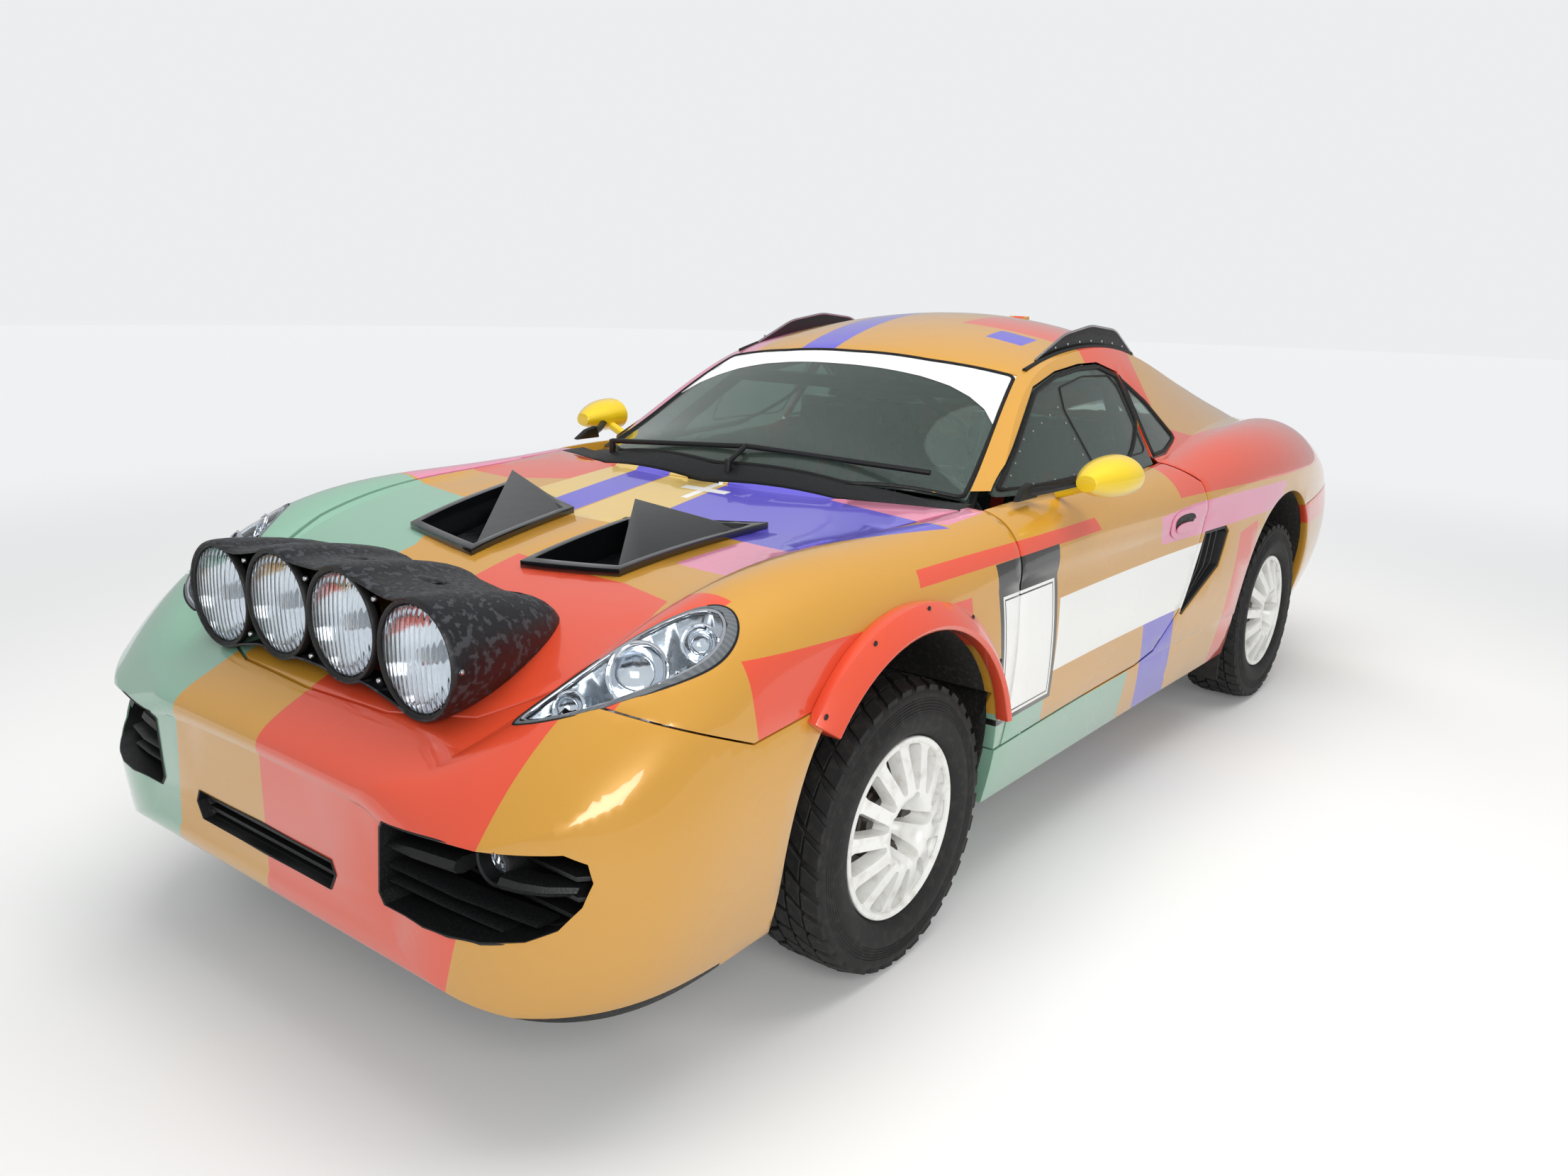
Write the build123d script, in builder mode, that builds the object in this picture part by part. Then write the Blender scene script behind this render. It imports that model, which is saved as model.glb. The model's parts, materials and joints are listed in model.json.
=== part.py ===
"""Two-door mid-engined coupe prepared as a gravel rally car.

The frame is in millimetres: +X points forward, +Y to the car's left and +Z up. The origin lies on the
ground, midway between the foremost and the rearmost points and on the centre plane.
"""

from collections import namedtuple
from math import cos, radians, sin, sqrt
import os

from build123d import *

# Running gear
wheelbase = 2415.0
front_axle_x = 1185.0
rear_axle_x = front_axle_x - wheelbase
front_track = 1490.0
rear_track = 1530.0
tyre_radius = 328.0
tyre_width = 204.0
rim_lip_radius = 204.0
rim_barrel_radius = 178.0
rim_width = 176.0
hub_radius = 74.0
spoke_count = 13
disc_radius = 150.0
disc_thickness = 26.0
kingpin_radius = 14.0
spindle_radius = 22.0

# Panels and the gaps between them
skin = 26.0
seam = 7.0
fit = 0.3
running_fit = 0.05
glass = 5.0
glass_setback = 4.0
door_inner_y = 732.0
hatch_tail_swing = 8.0
door_hinge_x = 687.0
door_hinge_y = 848.0
hatch_hinge_x = -662.0
hatch_hinge_z = 1352.0
hinge_pin_radius = 4.0
hinge_pin_top = 445.0
knuckle_radius = 8.0
sill_inner_y = 700.0
sill_top = 405.0
floor_top = 300.0
front_bulkhead_x = 690.0
rear_bulkhead_x = -560.0
bulkhead_thickness = 12.0
belt_z = 950.0

# Ends of cutters
sky = 1500.0
ground = 150.0
outboard = 1100.0

# Wheel openings: their centres sit above and ahead of the axles because the car is raised
arch_z = 400.0
front_arch_x = front_axle_x + 45.0
rear_arch_x = rear_axle_x + 30.0
front_arch_radius = 392.0
rear_arch_radius = 380.0
front_well_y = 445.0
rear_well_y = 560.0
liner = 8.0

# Room behind the front wheel when it is turned, about the king pin
kingpin_offset = 108.0
kingpin_y = front_track / 2 - kingpin_offset
swing_radius = 386.0
swing_top = 562.0

# Half sections of the body below the belt line, from nose to tail: the sill, the widest line, the
# shoulder, the crown of the wing, the edge of the lid or the window, and the height at mid width
Station = namedtuple(
    "Station", "x sill_y sill_z side_y side_z shoulder_y shoulder_z crown_y crown_z edge_y edge_z mid_z"
)
stations = [
    Station(2170, 420, 340, 452, 440, 440, 520, 380, 562, 300, 572, 580),
    Station(2110, 660, 262, 710, 440, 690, 595, 570, 640, 440, 648, 658),
    Station(1980, 765, 245, 820, 455, 790, 655, 640, 744, 500, 708, 716),
    Station(1700, 812, 260, 856, 515, 832, 752, 722, 880, 570, 850, 822),
    Station(1185, 830, 270, 874, 590, 852, 800, 748, 932, 625, 932, 918),
    Station(700, 828, 262, 866, 590, 852, 790, 800, 922, 738, belt_z, 970),
    Station(-400, 832, 254, 868, 580, 858, 780, 806, 918, 735, belt_z, belt_z + 8),
    Station(-850, 848, 262, 890, 600, 884, 815, 812, 962, 690, 985, 1000),
    Station(-1250, 852, 275, 902, 620, 898, 820, 786, 985, 645, 990, 1010),
    Station(-1750, 818, 306, 876, 620, 858, 795, 708, 955, 550, 962, 990),
    Station(-2060, 724, 325, 792, 620, 764, 745, 604, 868, 464, 892, 922),
    Station(-2170, 520, 400, 570, 580, 550, 650, 460, 690, 350, 700, 706),
]

# Half sections of the cabin: the belt, the rail above the side glass and the height at mid width
CabinStation = namedtuple("CabinStation", "x belt_y rail_y rail_z mid_z")
cabin_stations = [
    CabinStation(900, 600, 560, 905, 958),
    CabinStation(632, 735, 692, 935, 1094),
    CabinStation(400, 752, 622, 1078, 1196),
    CabinStation(176, 756, 556, 1212, 1288),
    CabinStation(-80, 754, 535, 1274, 1350),
    CabinStation(-420, 740, 526, 1280, 1371),
    CabinStation(-1000, 690, 510, 1152, 1280),
    CabinStation(-1600, 622, 493, 1004, 1118),
    CabinStation(-1830, 565, 473, 953, 1053),
    CabinStation(-2055, 505, 452, 902, 988),
]
cabin_foot_z = 800.0

# Outlines seen from above, as (x, y) on the left half
bonnet_outline = [(2052, 0), (2040, 240), (1985, 430), (1880, 540), (1640, 592), (1185, 640), (770, 690)]
bonnet_tail = [(770, 690), (868, 400), (905, 0)]
windscreen_base = [(644, 640), (812, 400), (858, 0)]
windscreen_head = [(172, 512), (215, 260), (228, 0)]
hatch_outline = [(-660, 0), (-662, 440), (-760, 478), (-1400, 478), (-1900, 440), (-2040, 380), (-2046, 0)]
hatch_glass_outline = [(-720, 0), (-722, 380), (-800, 428), (-1400, 424), (-1700, 392), (-1720, 0)]
headlamp_outline = [(1996, 548), (1990, 592), (1966, 644), (1926, 694), (1870, 738), (1806, 770), (1746, 786),
                    (1696, 783), (1662, 765), (1646, 737), (1652, 708), (1680, 680), (1732, 648), (1802, 612),
                    (1880, 577), (1940, 548), (1974, 535), (1990, 537)]

duct_outline = [(1586, 83), (1553, 353), (1162, 429), (1270, 90)]
duct_rim_width = 20.0
duct_hole_inset = 15.0
duct_wall = 4.0
duct_low_z = 780.0
duct_high_z = 1000.0

# Outlines seen from the side, as (x, z)
quarter_intake_outline = [(-464, 740), (-628, 738), (-652, 716), (-590, 610), (-335, 498), (-314, 506),
                          (-396, 640)]
duct_depth = [(1640, 795), (1640, 1000), (1120, 1000), (1120, 868)]
door_outline = [(797, 411), (719, 962), (-347, 962), (-462, 890), (-469, 800), (-300, 520), (-150, 428),
                (-18, 411)]
door_glass_outline = [(585, 930), (570, 962), (400, 1058), (176, 1192), (30, 1226), (-120, 1240),
                      (-250, 1240), (-370, 1208), (-340, 930)]
quarter_glass_outline = [(-356, 962), (-382, 1200), (-520, 1120), (-640, 1010), (-640, 994), (-480, 962)]

os.makedirs("parts", exist_ok=True)


def half_section(row, inset):
    """Points of one body section, drawn in by inset: sill, side, shoulder, crown and edge."""
    sill = (row.sill_y - inset, row.sill_z + inset)
    side = (row.side_y - inset, row.side_z)
    shoulder = (row.shoulder_y - inset, row.shoulder_z - 0.2 * inset)
    crown = (row.crown_y - 0.7 * inset, row.crown_z - 0.8 * inset)
    edge = (row.edge_y - 0.3 * inset, row.edge_z - inset)
    return sill, side, shoulder, crown, edge


def flip(point):
    """The same point on the right half."""
    return (-point[0], point[1])


def lower_body(inset):
    """Closed body below the belt line, drawn in by inset all round."""
    with BuildPart() as body:
        for row in stations:
            sill, side, shoulder, crown, edge = half_section(row, inset)
            place = row.x - inset * row.x / abs(stations[0].x)
            with BuildSketch(Plane.YZ.offset(place)):
                with BuildLine():
                    Line(flip(sill), sill)
                    ThreePointArc(sill, side, shoulder)
                    ThreePointArc(shoulder, crown, edge)
                    ThreePointArc(edge, (0, row.mid_z - inset), flip(edge))
                    ThreePointArc(flip(edge), flip(crown), flip(shoulder))
                    ThreePointArc(flip(shoulder), flip(side), flip(sill))
                make_face()
        loft()
    return body.part


def cabin_body(inset, overshoot=0.0):
    """Closed cabin above the belt line, drawn in by inset all round and longer by overshoot at each end."""
    with BuildPart() as body:
        for row in cabin_stations:
            at_end = (row is cabin_stations[0]) - (row is cabin_stations[-1])
            foot = (row.belt_y - inset, cabin_foot_z - overshoot)
            belt = (row.belt_y - inset, min(belt_z, row.rail_z) - 30)
            rail = (row.rail_y - 0.8 * inset, row.rail_z - 0.8 * inset)
            with BuildSketch(Plane.YZ.offset(row.x + overshoot * at_end)):
                with BuildLine():
                    Line(flip(foot), foot)
                    Line(foot, belt)
                    Line(belt, rail)
                    ThreePointArc(rail, (0, row.mid_z - inset), flip(rail))
                    Line(flip(rail), flip(belt))
                    Line(flip(belt), flip(foot))
                make_face()
        loft()
    return body.part


def whole_body(inset):
    """Body and cabin in one closed solid."""
    with BuildPart() as body:
        add(lower_body(inset))
        add(cabin_body(inset))
    return body.part


def plan_prism(outline, low, high, grow=0.0):
    """Prism on an outline seen from above, given by its left half, which starts and ends at mid width."""
    right_half = [(x, -y) for x, y in reversed(outline) if y > 0]
    with BuildPart() as prism:
        with BuildSketch(Plane.XY.offset(low)):
            with BuildLine():
                Polyline(*outline, *right_half, close=True)
            make_face()
            if grow:
                offset(amount=grow, kind=Kind.INTERSECTION)
        extrude(amount=high - low)
    return prism.part


def left_prism(outline, low, high, grow=0.0):
    """Prism on an outline seen from above that lies on the left only."""
    with BuildPart() as prism:
        with BuildSketch(Plane.XY.offset(low)):
            with BuildLine():
                Polyline(*outline, close=True)
            make_face()
            if grow:
                offset(amount=grow, kind=Kind.INTERSECTION)
        extrude(amount=high - low)
    return prism.part


def front_prism(outline, rear, front, grow=0.0):
    """Prism on an outline of (y, z) points seen from the front, between two stations."""
    with BuildPart() as prism:
        with BuildSketch(Plane.YZ.offset(rear)):
            with BuildLine():
                Polyline(*outline, close=True)
            make_face()
            if grow:
                offset(amount=grow, kind=Kind.INTERSECTION)
        extrude(amount=front - rear)
    return prism.part


def side_prism(outline, near, far, grow=0.0):
    """Prism on an outline seen from the side, between two distances to the left of mid width."""
    with BuildPart() as prism:
        with BuildSketch(Plane.XZ.offset(-far)):
            with BuildLine():
                Polyline(*outline, close=True)
            make_face()
            if grow:
                offset(amount=grow, kind=Kind.INTERSECTION)
        extrude(amount=far - near)
    return prism.part


def box(low, high):
    """Block between two corners."""
    middle = tuple((a + b) / 2 for a, b in zip(low, high))
    with BuildPart() as block:
        with Locations(middle):
            Box(*[b - a for a, b in zip(low, high)])
    return block.part


def mirrored(part):
    """The right-hand copy of a left-hand part."""
    with BuildPart() as copy:
        add(part)
        mirror(about=Plane.XZ, mode=Mode.REPLACE)
    return copy.part


def both(part):
    """A left-hand part and its right-hand copy."""
    with BuildPart() as pair:
        add(part)
        mirror(about=Plane.XZ)
    return pair.part


def rod(start, end, radius):
    """Round bar between two points."""
    along = Vector(*end) - Vector(*start)
    with BuildPart() as bar:
        with BuildSketch(Plane(origin=start, z_dir=along)):
            Circle(radius)
        extrude(amount=along.length)
    return bar.part


def tube_path(points, radius, bend):
    """Round bar along straight runs joined by arcs."""
    with BuildPart() as bar:
        with BuildLine() as path:
            FilletPolyline(*points, radius=bend)
        with BuildSketch(Plane(origin=points[0], z_dir=Vector(*points[1]) - Vector(*points[0]))):
            Circle(radius)
        sweep(path=path.line)
    return bar.part


def save(name, part):
    """Write one piece to its own file."""
    part.label = name
    export_step(part, f"parts/{name}.step")


lower = lower_body(0)
with BuildPart() as outer_body:
    add(lower)
    add(cabin_body(0))
outer = outer_body.part
lifted_lower = lower_body(-fit)
with BuildPart() as lifted_body:
    add(lifted_lower)
    add(cabin_body(-fit))
lifted = lifted_body.part
lining = lower_body(skin + fit)
inner = whole_body(skin)
with BuildPart() as shell:
    add(outer)
    add(inner, mode=Mode.SUBTRACT)


def arch_cut(x, radius, well_y, grow=0.0):
    """Wheel opening on the left: a half round over straight sides that run down to the ground."""
    with BuildPart() as cut:
        with BuildSketch(Plane.XZ.offset(-1100)):
            with Locations((x, arch_z)):
                Circle(radius + grow)
            with Locations((x, arch_z / 2)):
                Rectangle(2 * (radius + grow), arch_z)
        extrude(amount=1100 - well_y + grow)
    return cut.part


def front_well(grow=0.0):
    """Front wheel opening on the left, with room for the turned wheel."""
    with BuildPart() as well:
        with Locations((front_axle_x, kingpin_y, (swing_top + grow) / 2)):
            Cylinder(swing_radius + grow, swing_top + grow)
        add(box((0, front_well_y - grow, -1), (front_axle_x, kingpin_y + swing_radius, sky)),
            mode=Mode.INTERSECT)
        add(arch_cut(front_arch_x, front_arch_radius, front_well_y, grow))
    return well.part


with BuildPart() as arches:
    add(front_well())
    add(arch_cut(rear_arch_x, rear_arch_radius, rear_well_y))
    mirror(about=Plane.XZ)

# Cutters for the openings, each a seam wider than the panel that fills it
bonnet_plan = bonnet_outline + bonnet_tail[1:]
cowl_plan = [(x + seam, y) for x, y in reversed(bonnet_tail)]
screen_plan = list(reversed(windscreen_base)) + windscreen_head
bumper_outline = [(front_arch_x, ground), (front_arch_x + 240, 704), (1712, 680), (1880, 748), (2000, 800),
                  (2300, 800), (2300, ground)]
rear_bumper_outline = [(rear_arch_x, ground), (rear_arch_x - 240, 700), (-1880, 722), (-2300, 740),
                       (-2300, ground)]
tail_lamp_outline = [(-1900, 790), (-1980, 868), (-2120, 880), (-2300, 880), (-2300, 762), (-2000, 762)]
tail_lamp_inner_y = 430.0
fender_top = 1000.0

door_opening = both(side_prism(door_outline, 500, outboard, seam))
bonnet_opening = plan_prism(bonnet_plan, 600, sky, seam)
screen_opening = plan_prism(screen_plan, 880, sky)
hatch_opening = plan_prism(hatch_outline[:-2] + [(x - hatch_tail_swing, y) for x, y in hatch_outline[-2:]],
                           860, sky, seam)
headlamp_opening = both(left_prism(headlamp_outline, 640, sky, fit))
bumper_zone = both(side_prism(bumper_outline, 0, outboard))
bumper_cut = both(side_prism(bumper_outline, 0, outboard, seam / 2))
rear_bumper_zone = both(side_prism(rear_bumper_outline, 0, outboard))
rear_bumper_cut = both(side_prism(rear_bumper_outline, 0, outboard, seam / 2))
tail_lamp_zone = both(side_prism(tail_lamp_outline, tail_lamp_inner_y, outboard))
tail_lamp_cut = both(side_prism(tail_lamp_outline, tail_lamp_inner_y - fit, outboard, fit))

with BuildPart() as glass_shell:
    add(cabin_body(glass_setback))
    add(cabin_body(glass_setback + glass, glass), mode=Mode.SUBTRACT)

with BuildPart() as upper_shell:
    add(shell.part)
    add(box((-2300, -sill_inner_y, ground), (2300, sill_inner_y, sill_top)), mode=Mode.SUBTRACT)
    add(arches.part, mode=Mode.SUBTRACT)

# Front end
with BuildPart() as bonnet:
    add(shell.part)
    add(plan_prism(bonnet_plan, 600, sky), mode=Mode.INTERSECT)
    add(both(left_prism(duct_outline, duct_low_z, duct_high_z, -duct_hole_inset)), mode=Mode.SUBTRACT)
save("bonnet", bonnet.part)

with BuildPart() as cowl_panel:
    add(shell.part)
    add(plan_prism([(858, 0), (812, 400), (690, 680), (764, 690), (862, 400), (899, 0)], 600, sky),
        mode=Mode.INTERSECT)
save("cowl_panel", cowl_panel.part)

with BuildPart() as front_fenders:
    add(upper_shell.part)
    add(box((700, -outboard, sill_top + seam), (2200, outboard, fender_top)), mode=Mode.INTERSECT)
    add(bonnet_opening, mode=Mode.SUBTRACT)
    add(door_opening, mode=Mode.SUBTRACT)
    add(bumper_cut, mode=Mode.SUBTRACT)
    add(headlamp_opening, mode=Mode.SUBTRACT)
    add(box((600, -690, ground), (930, 690, sky)), mode=Mode.SUBTRACT)
save("front_fenders", front_fenders.part)

with BuildPart() as front_bumper:
    add(shell.part)
    add(bumper_zone, mode=Mode.INTERSECT)
    add(box((0, -sill_inner_y, ground), (1756 + fit, sill_inner_y, 362)), mode=Mode.SUBTRACT)
    add(box((1760 - fit, -outboard, ground), (2300, outboard, 262 + fit)), mode=Mode.SUBTRACT)
    add(bonnet_opening, mode=Mode.SUBTRACT)
    add(headlamp_opening, mode=Mode.SUBTRACT)
    add(arches.part, mode=Mode.SUBTRACT)
save("front_bumper", front_bumper.part)

with BuildPart() as headlamps:
    add(shell.part)
    add(both(left_prism(headlamp_outline, 640, sky)), mode=Mode.INTERSECT)
save("headlamps", headlamps.part)

with BuildPart() as rear_bumper:
    add(shell.part)
    add(rear_bumper_zone, mode=Mode.INTERSECT)
    add(box((-2042, -sill_inner_y, ground), (0, sill_inner_y, 362)), mode=Mode.SUBTRACT)
    add(box((-2300, -120, ground), (-2000, 120, 350)), mode=Mode.SUBTRACT)
    add(arches.part, mode=Mode.SUBTRACT)
save("rear_bumper", rear_bumper.part)

with BuildPart() as tail_lamps:
    add(shell.part)
    add(tail_lamp_zone, mode=Mode.INTERSECT)
save("tail_lamps", tail_lamps.part)

# Doors, lids and glass
with BuildPart() as door_left:
    add(lower)
    add(side_prism(door_outline, door_inner_y, outboard), mode=Mode.INTERSECT)
    add(rod((door_hinge_x, door_hinge_y, ground), (door_hinge_x, door_hinge_y, hinge_pin_top + 3),
            hinge_pin_radius + running_fit), mode=Mode.SUBTRACT)
save("door_left", door_left.part)
save("door_right", mirrored(door_left.part))

with BuildPart() as door_glass_left:
    add(glass_shell.part)
    add(side_prism(door_glass_outline, 450, outboard), mode=Mode.INTERSECT)
    add(lifted_lower, mode=Mode.SUBTRACT)
save("door_glass_left", door_glass_left.part)
save("door_glass_right", mirrored(door_glass_left.part))

with BuildPart() as quarter_glass:
    add(glass_shell.part)
    add(both(side_prism(quarter_glass_outline, 450, outboard)), mode=Mode.INTERSECT)
save("quarter_glass", quarter_glass.part)

with BuildPart() as windshield:
    add(glass_shell.part)
    add(plan_prism(screen_plan, 880, sky), mode=Mode.INTERSECT)
save("windshield", windshield.part)

ear_near = 40.0
ear_far = 110.0
ear_width = 16.0


def hatch_hinge_bar(near, far, radius):
    """Round bar on the hatch's axis, on the left."""
    return rod((hatch_hinge_x, near, hatch_hinge_z), (hatch_hinge_x, far, hatch_hinge_z), radius)


with BuildPart() as hatch:
    add(shell.part)
    add(plan_prism(hatch_outline, 860, sky), mode=Mode.INTERSECT)
    add(plan_prism(hatch_glass_outline, 860, sky, fit), mode=Mode.SUBTRACT)
    add(both(hatch_hinge_bar(ear_near - 4, ear_far + 4, knuckle_radius + 5)), mode=Mode.SUBTRACT)
    add(both(hatch_hinge_bar(ear_near + ear_width + fit, ear_far - ear_width - fit, knuckle_radius)))
    add(both(hatch_hinge_bar(ear_near, ear_far, hinge_pin_radius + running_fit)), mode=Mode.SUBTRACT)
save("hatch", hatch.part)

with BuildPart() as hatch_glass:
    add(glass_shell.part)
    add(plan_prism(hatch_glass_outline, 860, sky), mode=Mode.INTERSECT)
save("hatch_glass", hatch_glass.part)

side_intake_cut = both(side_prism(quarter_intake_outline, 790, outboard))
with BuildPart() as body_shell:
    add(upper_shell.part)
    add(box((-2300, -outboard, ground), (700 - seam, outboard, sky)), mode=Mode.INTERSECT)
    add(box((rear_arch_x + 100, -outboard, ground), (front_arch_x, outboard, sill_top)), mode=Mode.SUBTRACT)
    add(door_opening, mode=Mode.SUBTRACT)
    add(both(side_prism(door_glass_outline, 300, outboard, seam)), mode=Mode.SUBTRACT)
    add(both(side_prism(quarter_glass_outline, 300, outboard, fit)), mode=Mode.SUBTRACT)
    add(screen_opening, mode=Mode.SUBTRACT)
    add(hatch_opening, mode=Mode.SUBTRACT)
    add(rear_bumper_cut, mode=Mode.SUBTRACT)
    add(tail_lamp_cut, mode=Mode.SUBTRACT)
    add(side_intake_cut, mode=Mode.SUBTRACT)
    for near, far in ((ear_near, ear_near + ear_width), (ear_far - ear_width, ear_far)):
        add(both(hatch_hinge_bar(near, far, knuckle_radius)))
        add(both(box((hatch_hinge_x, near, hatch_hinge_z - knuckle_radius + 1),
                     (hatch_hinge_x + 22, far, hatch_hinge_z + 4))))
    add(both(hatch_hinge_bar(ear_near, ear_far, hinge_pin_radius)))
save("body_shell", body_shell.part)

# Structure under the panels
tunnel_half = 110.0
bulkhead_half = 670.0
tunnel_top = 470.0
boot_half = 420.0
boot_front_x = 1900.0
rail_inner_y = 400.0
rail_width = 40.0
deck_z = 800.0


with BuildPart() as wheelhouse_room:
    add(lining)
    add(box((rear_arch_x - outboard, -sill_inner_y + fit, 275),
            (front_arch_x + outboard, sill_inner_y - fit, 345)))


def liner_shell(outside, inside):
    """Wheelhouse on the left: a thin wall around the wheel opening, inside the body."""
    with BuildPart() as wall:
        add(outside)
        add(inside, mode=Mode.SUBTRACT)
        add(wheelhouse_room.part, mode=Mode.INTERSECT)
    return wall.part


with BuildPart() as floor_pan:
    add(shell.part)
    add(box((-1700, -sill_inner_y + fit, ground), (1756, sill_inner_y - fit, 360)), mode=Mode.INTERSECT)
    add(box((rear_bulkhead_x, -sill_inner_y + fit, 270), (front_bulkhead_x, sill_inner_y - fit, floor_top)))
    add(box((rear_bulkhead_x, -tunnel_half, 280), (front_bulkhead_x, tunnel_half, tunnel_top)))
    add(box((rear_bulkhead_x - 1, -tunnel_half + 10, 280), (front_bulkhead_x + 1, tunnel_half - 10,
                                                            tunnel_top - 10)),
        mode=Mode.SUBTRACT)
    add(box((front_bulkhead_x, -bulkhead_half, 280), (front_bulkhead_x + bulkhead_thickness,
                                                      bulkhead_half, 860)))
    add(box((rear_bulkhead_x - bulkhead_thickness, -sill_inner_y + fit, 280),
            (rear_bulkhead_x, sill_inner_y - fit, 930)))
    add(box((-1850, -560, deck_z), (rear_bulkhead_x, 560, deck_z + bulkhead_thickness)))
    add(box((front_bulkhead_x, -boot_half, 286), (boot_front_x, boot_half, 640)))
    add(box((front_bulkhead_x + 12, -boot_half + 10, 296), (boot_front_x - 10, boot_half - 10, 700)),
        mode=Mode.SUBTRACT)
    add(both(box((-1980, rail_inner_y, 290), (rear_bulkhead_x, rail_inner_y + rail_width, 420))))
    add(both(liner_shell(front_well(liner), front_well())))
    add(both(liner_shell(arch_cut(rear_arch_x, rear_arch_radius, rear_well_y, liner),
                         arch_cut(rear_arch_x, rear_arch_radius, rear_well_y))))
    add(arches.part, mode=Mode.SUBTRACT)
    add(rod((rear_axle_x, -620, tyre_radius + 4), (rear_axle_x, 620, tyre_radius + 4), 50),
        mode=Mode.SUBTRACT)
save("floor_pan", floor_pan.part)

# Sills join the body to the floor, and carry the four pads for a jack
jack_pad_x = (580.0, -620.0)
jack_pad_y = 768.0
jack_pad_z = 244.0
jack_pad_radius = 30.0
with BuildPart() as sills:
    add(outer)
    add(both(box((rear_arch_x + rear_arch_radius + liner + fit, sill_inner_y, ground),
                 (front_arch_x - front_arch_radius - liner - fit, outboard, sill_top))), mode=Mode.INTERSECT)
    add(both(front_well(liner + fit)), mode=Mode.SUBTRACT)
    for x in jack_pad_x:
        for side in (1, -1):
            add(rod((x, side * jack_pad_y, jack_pad_z), (x, side * jack_pad_y, sill_top - 80),
                    jack_pad_radius))
    for side in (1, -1):
        add(rod((door_hinge_x, side * door_hinge_y, sill_top - 20),
                (door_hinge_x, side * door_hinge_y, hinge_pin_top), hinge_pin_radius))
save("sills", sills.part)

# Trim on the body
flare_section = [(front_arch_radius - 4, 800), (front_arch_radius - 4, 900), (front_arch_radius + 6, 906),
                 (front_arch_radius + 50, 872), (front_arch_radius + 50, 800)]
flare_front_angle = 40.0
flare_rear_angle = 166.0


def ring_plane(x, angle):
    """Half plane through the axis of a wheel opening, at an angle above straight ahead."""
    turn = radians(angle)
    return Plane(origin=(x, 0, arch_z), x_dir=(cos(turn), 0, sin(turn)), z_dir=(-sin(turn), 0, cos(turn)))


with BuildPart() as flare:
    with BuildSketch(ring_plane(front_arch_x, flare_front_angle)):
        with BuildLine():
            Polyline(*flare_section, close=True)
        make_face()
    revolve(axis=Axis((front_arch_x, 0, arch_z), (0, -1, 0)),
            revolution_arc=flare_rear_angle - flare_front_angle)
    add(lifted, mode=Mode.SUBTRACT)
save("arch_flares", both(flare.part))

fence_height = 40.0
fence_thickness = 4.0
fence_y = 505.0
with BuildPart() as roof_fence:
    add(side_prism([(150, 1180), (60, 1262), (-120, 1330), (-300, 1352), (-480, 1335), (-640, 1250),
                    (-640, 1150), (150, 1150)], fence_y, fence_y + fence_thickness))
    add(lifted, mode=Mode.SUBTRACT)
save("roof_fences", both(roof_fence.part))

with BuildPart() as mirror_left:
    with BuildSketch(Plane.YZ.offset(350)):
        with Locations((900, 1012)):
            Ellipse(72, 52)
    with BuildSketch(Plane.YZ.offset(430)):
        with Locations((895, 1010)):
            Ellipse(62, 46)
    with BuildSketch(Plane.YZ.offset(500)):
        with Locations((885, 1005)):
            Ellipse(26, 20)
    loft()
    add(rod((420, 772, 958), (410, 850, 985), 14))
    add(lifted_lower, mode=Mode.SUBTRACT)
save("mirror_left", mirror_left.part)
save("mirror_right", mirrored(mirror_left.part))

# Lamp pod over the front of the lid, with its four round lamps
Lamp = namedtuple("Lamp", "x y z")
lamps = [Lamp(2041, 110, 827), Lamp(2039, 335, 806)]
lamp_radius = 102.0
lamp_depth = 70.0
web_half_height = 84.0
pod_wall = 7.0
pod_radius = lamp_radius + 14
pod_tail = 330.0
pod_tail_radius = 60.0
pod_rise = -4.0


def lobe(lamp, radius, tail_radius):
    """One tapering lobe of the pod behind a lamp."""
    with BuildPart() as body:
        with BuildSketch(Plane.YZ.offset(lamp.x - 12)):
            with Locations((lamp.y, lamp.z)):
                Circle(radius)
        with BuildSketch(Plane.YZ.offset(lamp.x - pod_tail)):
            with Locations((lamp.y, lamp.z + pod_rise)):
                Circle(tail_radius)
        loft()
    return body.part


def web(first, second, wall):
    """Filling between two neighbouring lobes, which keeps the valleys shallow, drawn in by wall."""
    with BuildPart() as body:
        for front, drop, share in ((-14 - wall, 0, 1.0), (wall - pod_tail, pod_rise, 0.42)):
            x = min(first.x, second.x) + front
            half = (web_half_height - wall) * share
            with BuildSketch(Plane.YZ.offset(x)):
                with BuildLine():
                    Polyline((first.y, first.z + drop - half), (second.y, second.z + drop - half),
                             (second.y, second.z + drop + half), (first.y, first.z + drop + half), close=True)
                make_face()
        loft()
    return body.part


inner_lamp, outer_lamp = lamps
with BuildPart() as lamp_pod:
    for lamp in lamps:
        add(both(lobe(lamp, pod_radius, pod_tail_radius)))
    add(both(web(inner_lamp, outer_lamp, 0)))
    add(web(Lamp(inner_lamp.x, -inner_lamp.y, inner_lamp.z), inner_lamp, 0))
    for lamp in lamps:
        add(both(lobe(lamp, pod_radius - pod_wall, pod_tail_radius - pod_wall)), mode=Mode.SUBTRACT)
    with Locations(*[(lamp.x - 16, side * lamp.y, lamp.z) for lamp in lamps for side in (1, -1)]):
        Cylinder(pod_radius - pod_wall, 8 + 2 * fit, rotation=(0, 90, 0), mode=Mode.SUBTRACT)
    add(lifted, mode=Mode.SUBTRACT)
save("lamp_pod", lamp_pod.part)

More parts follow.
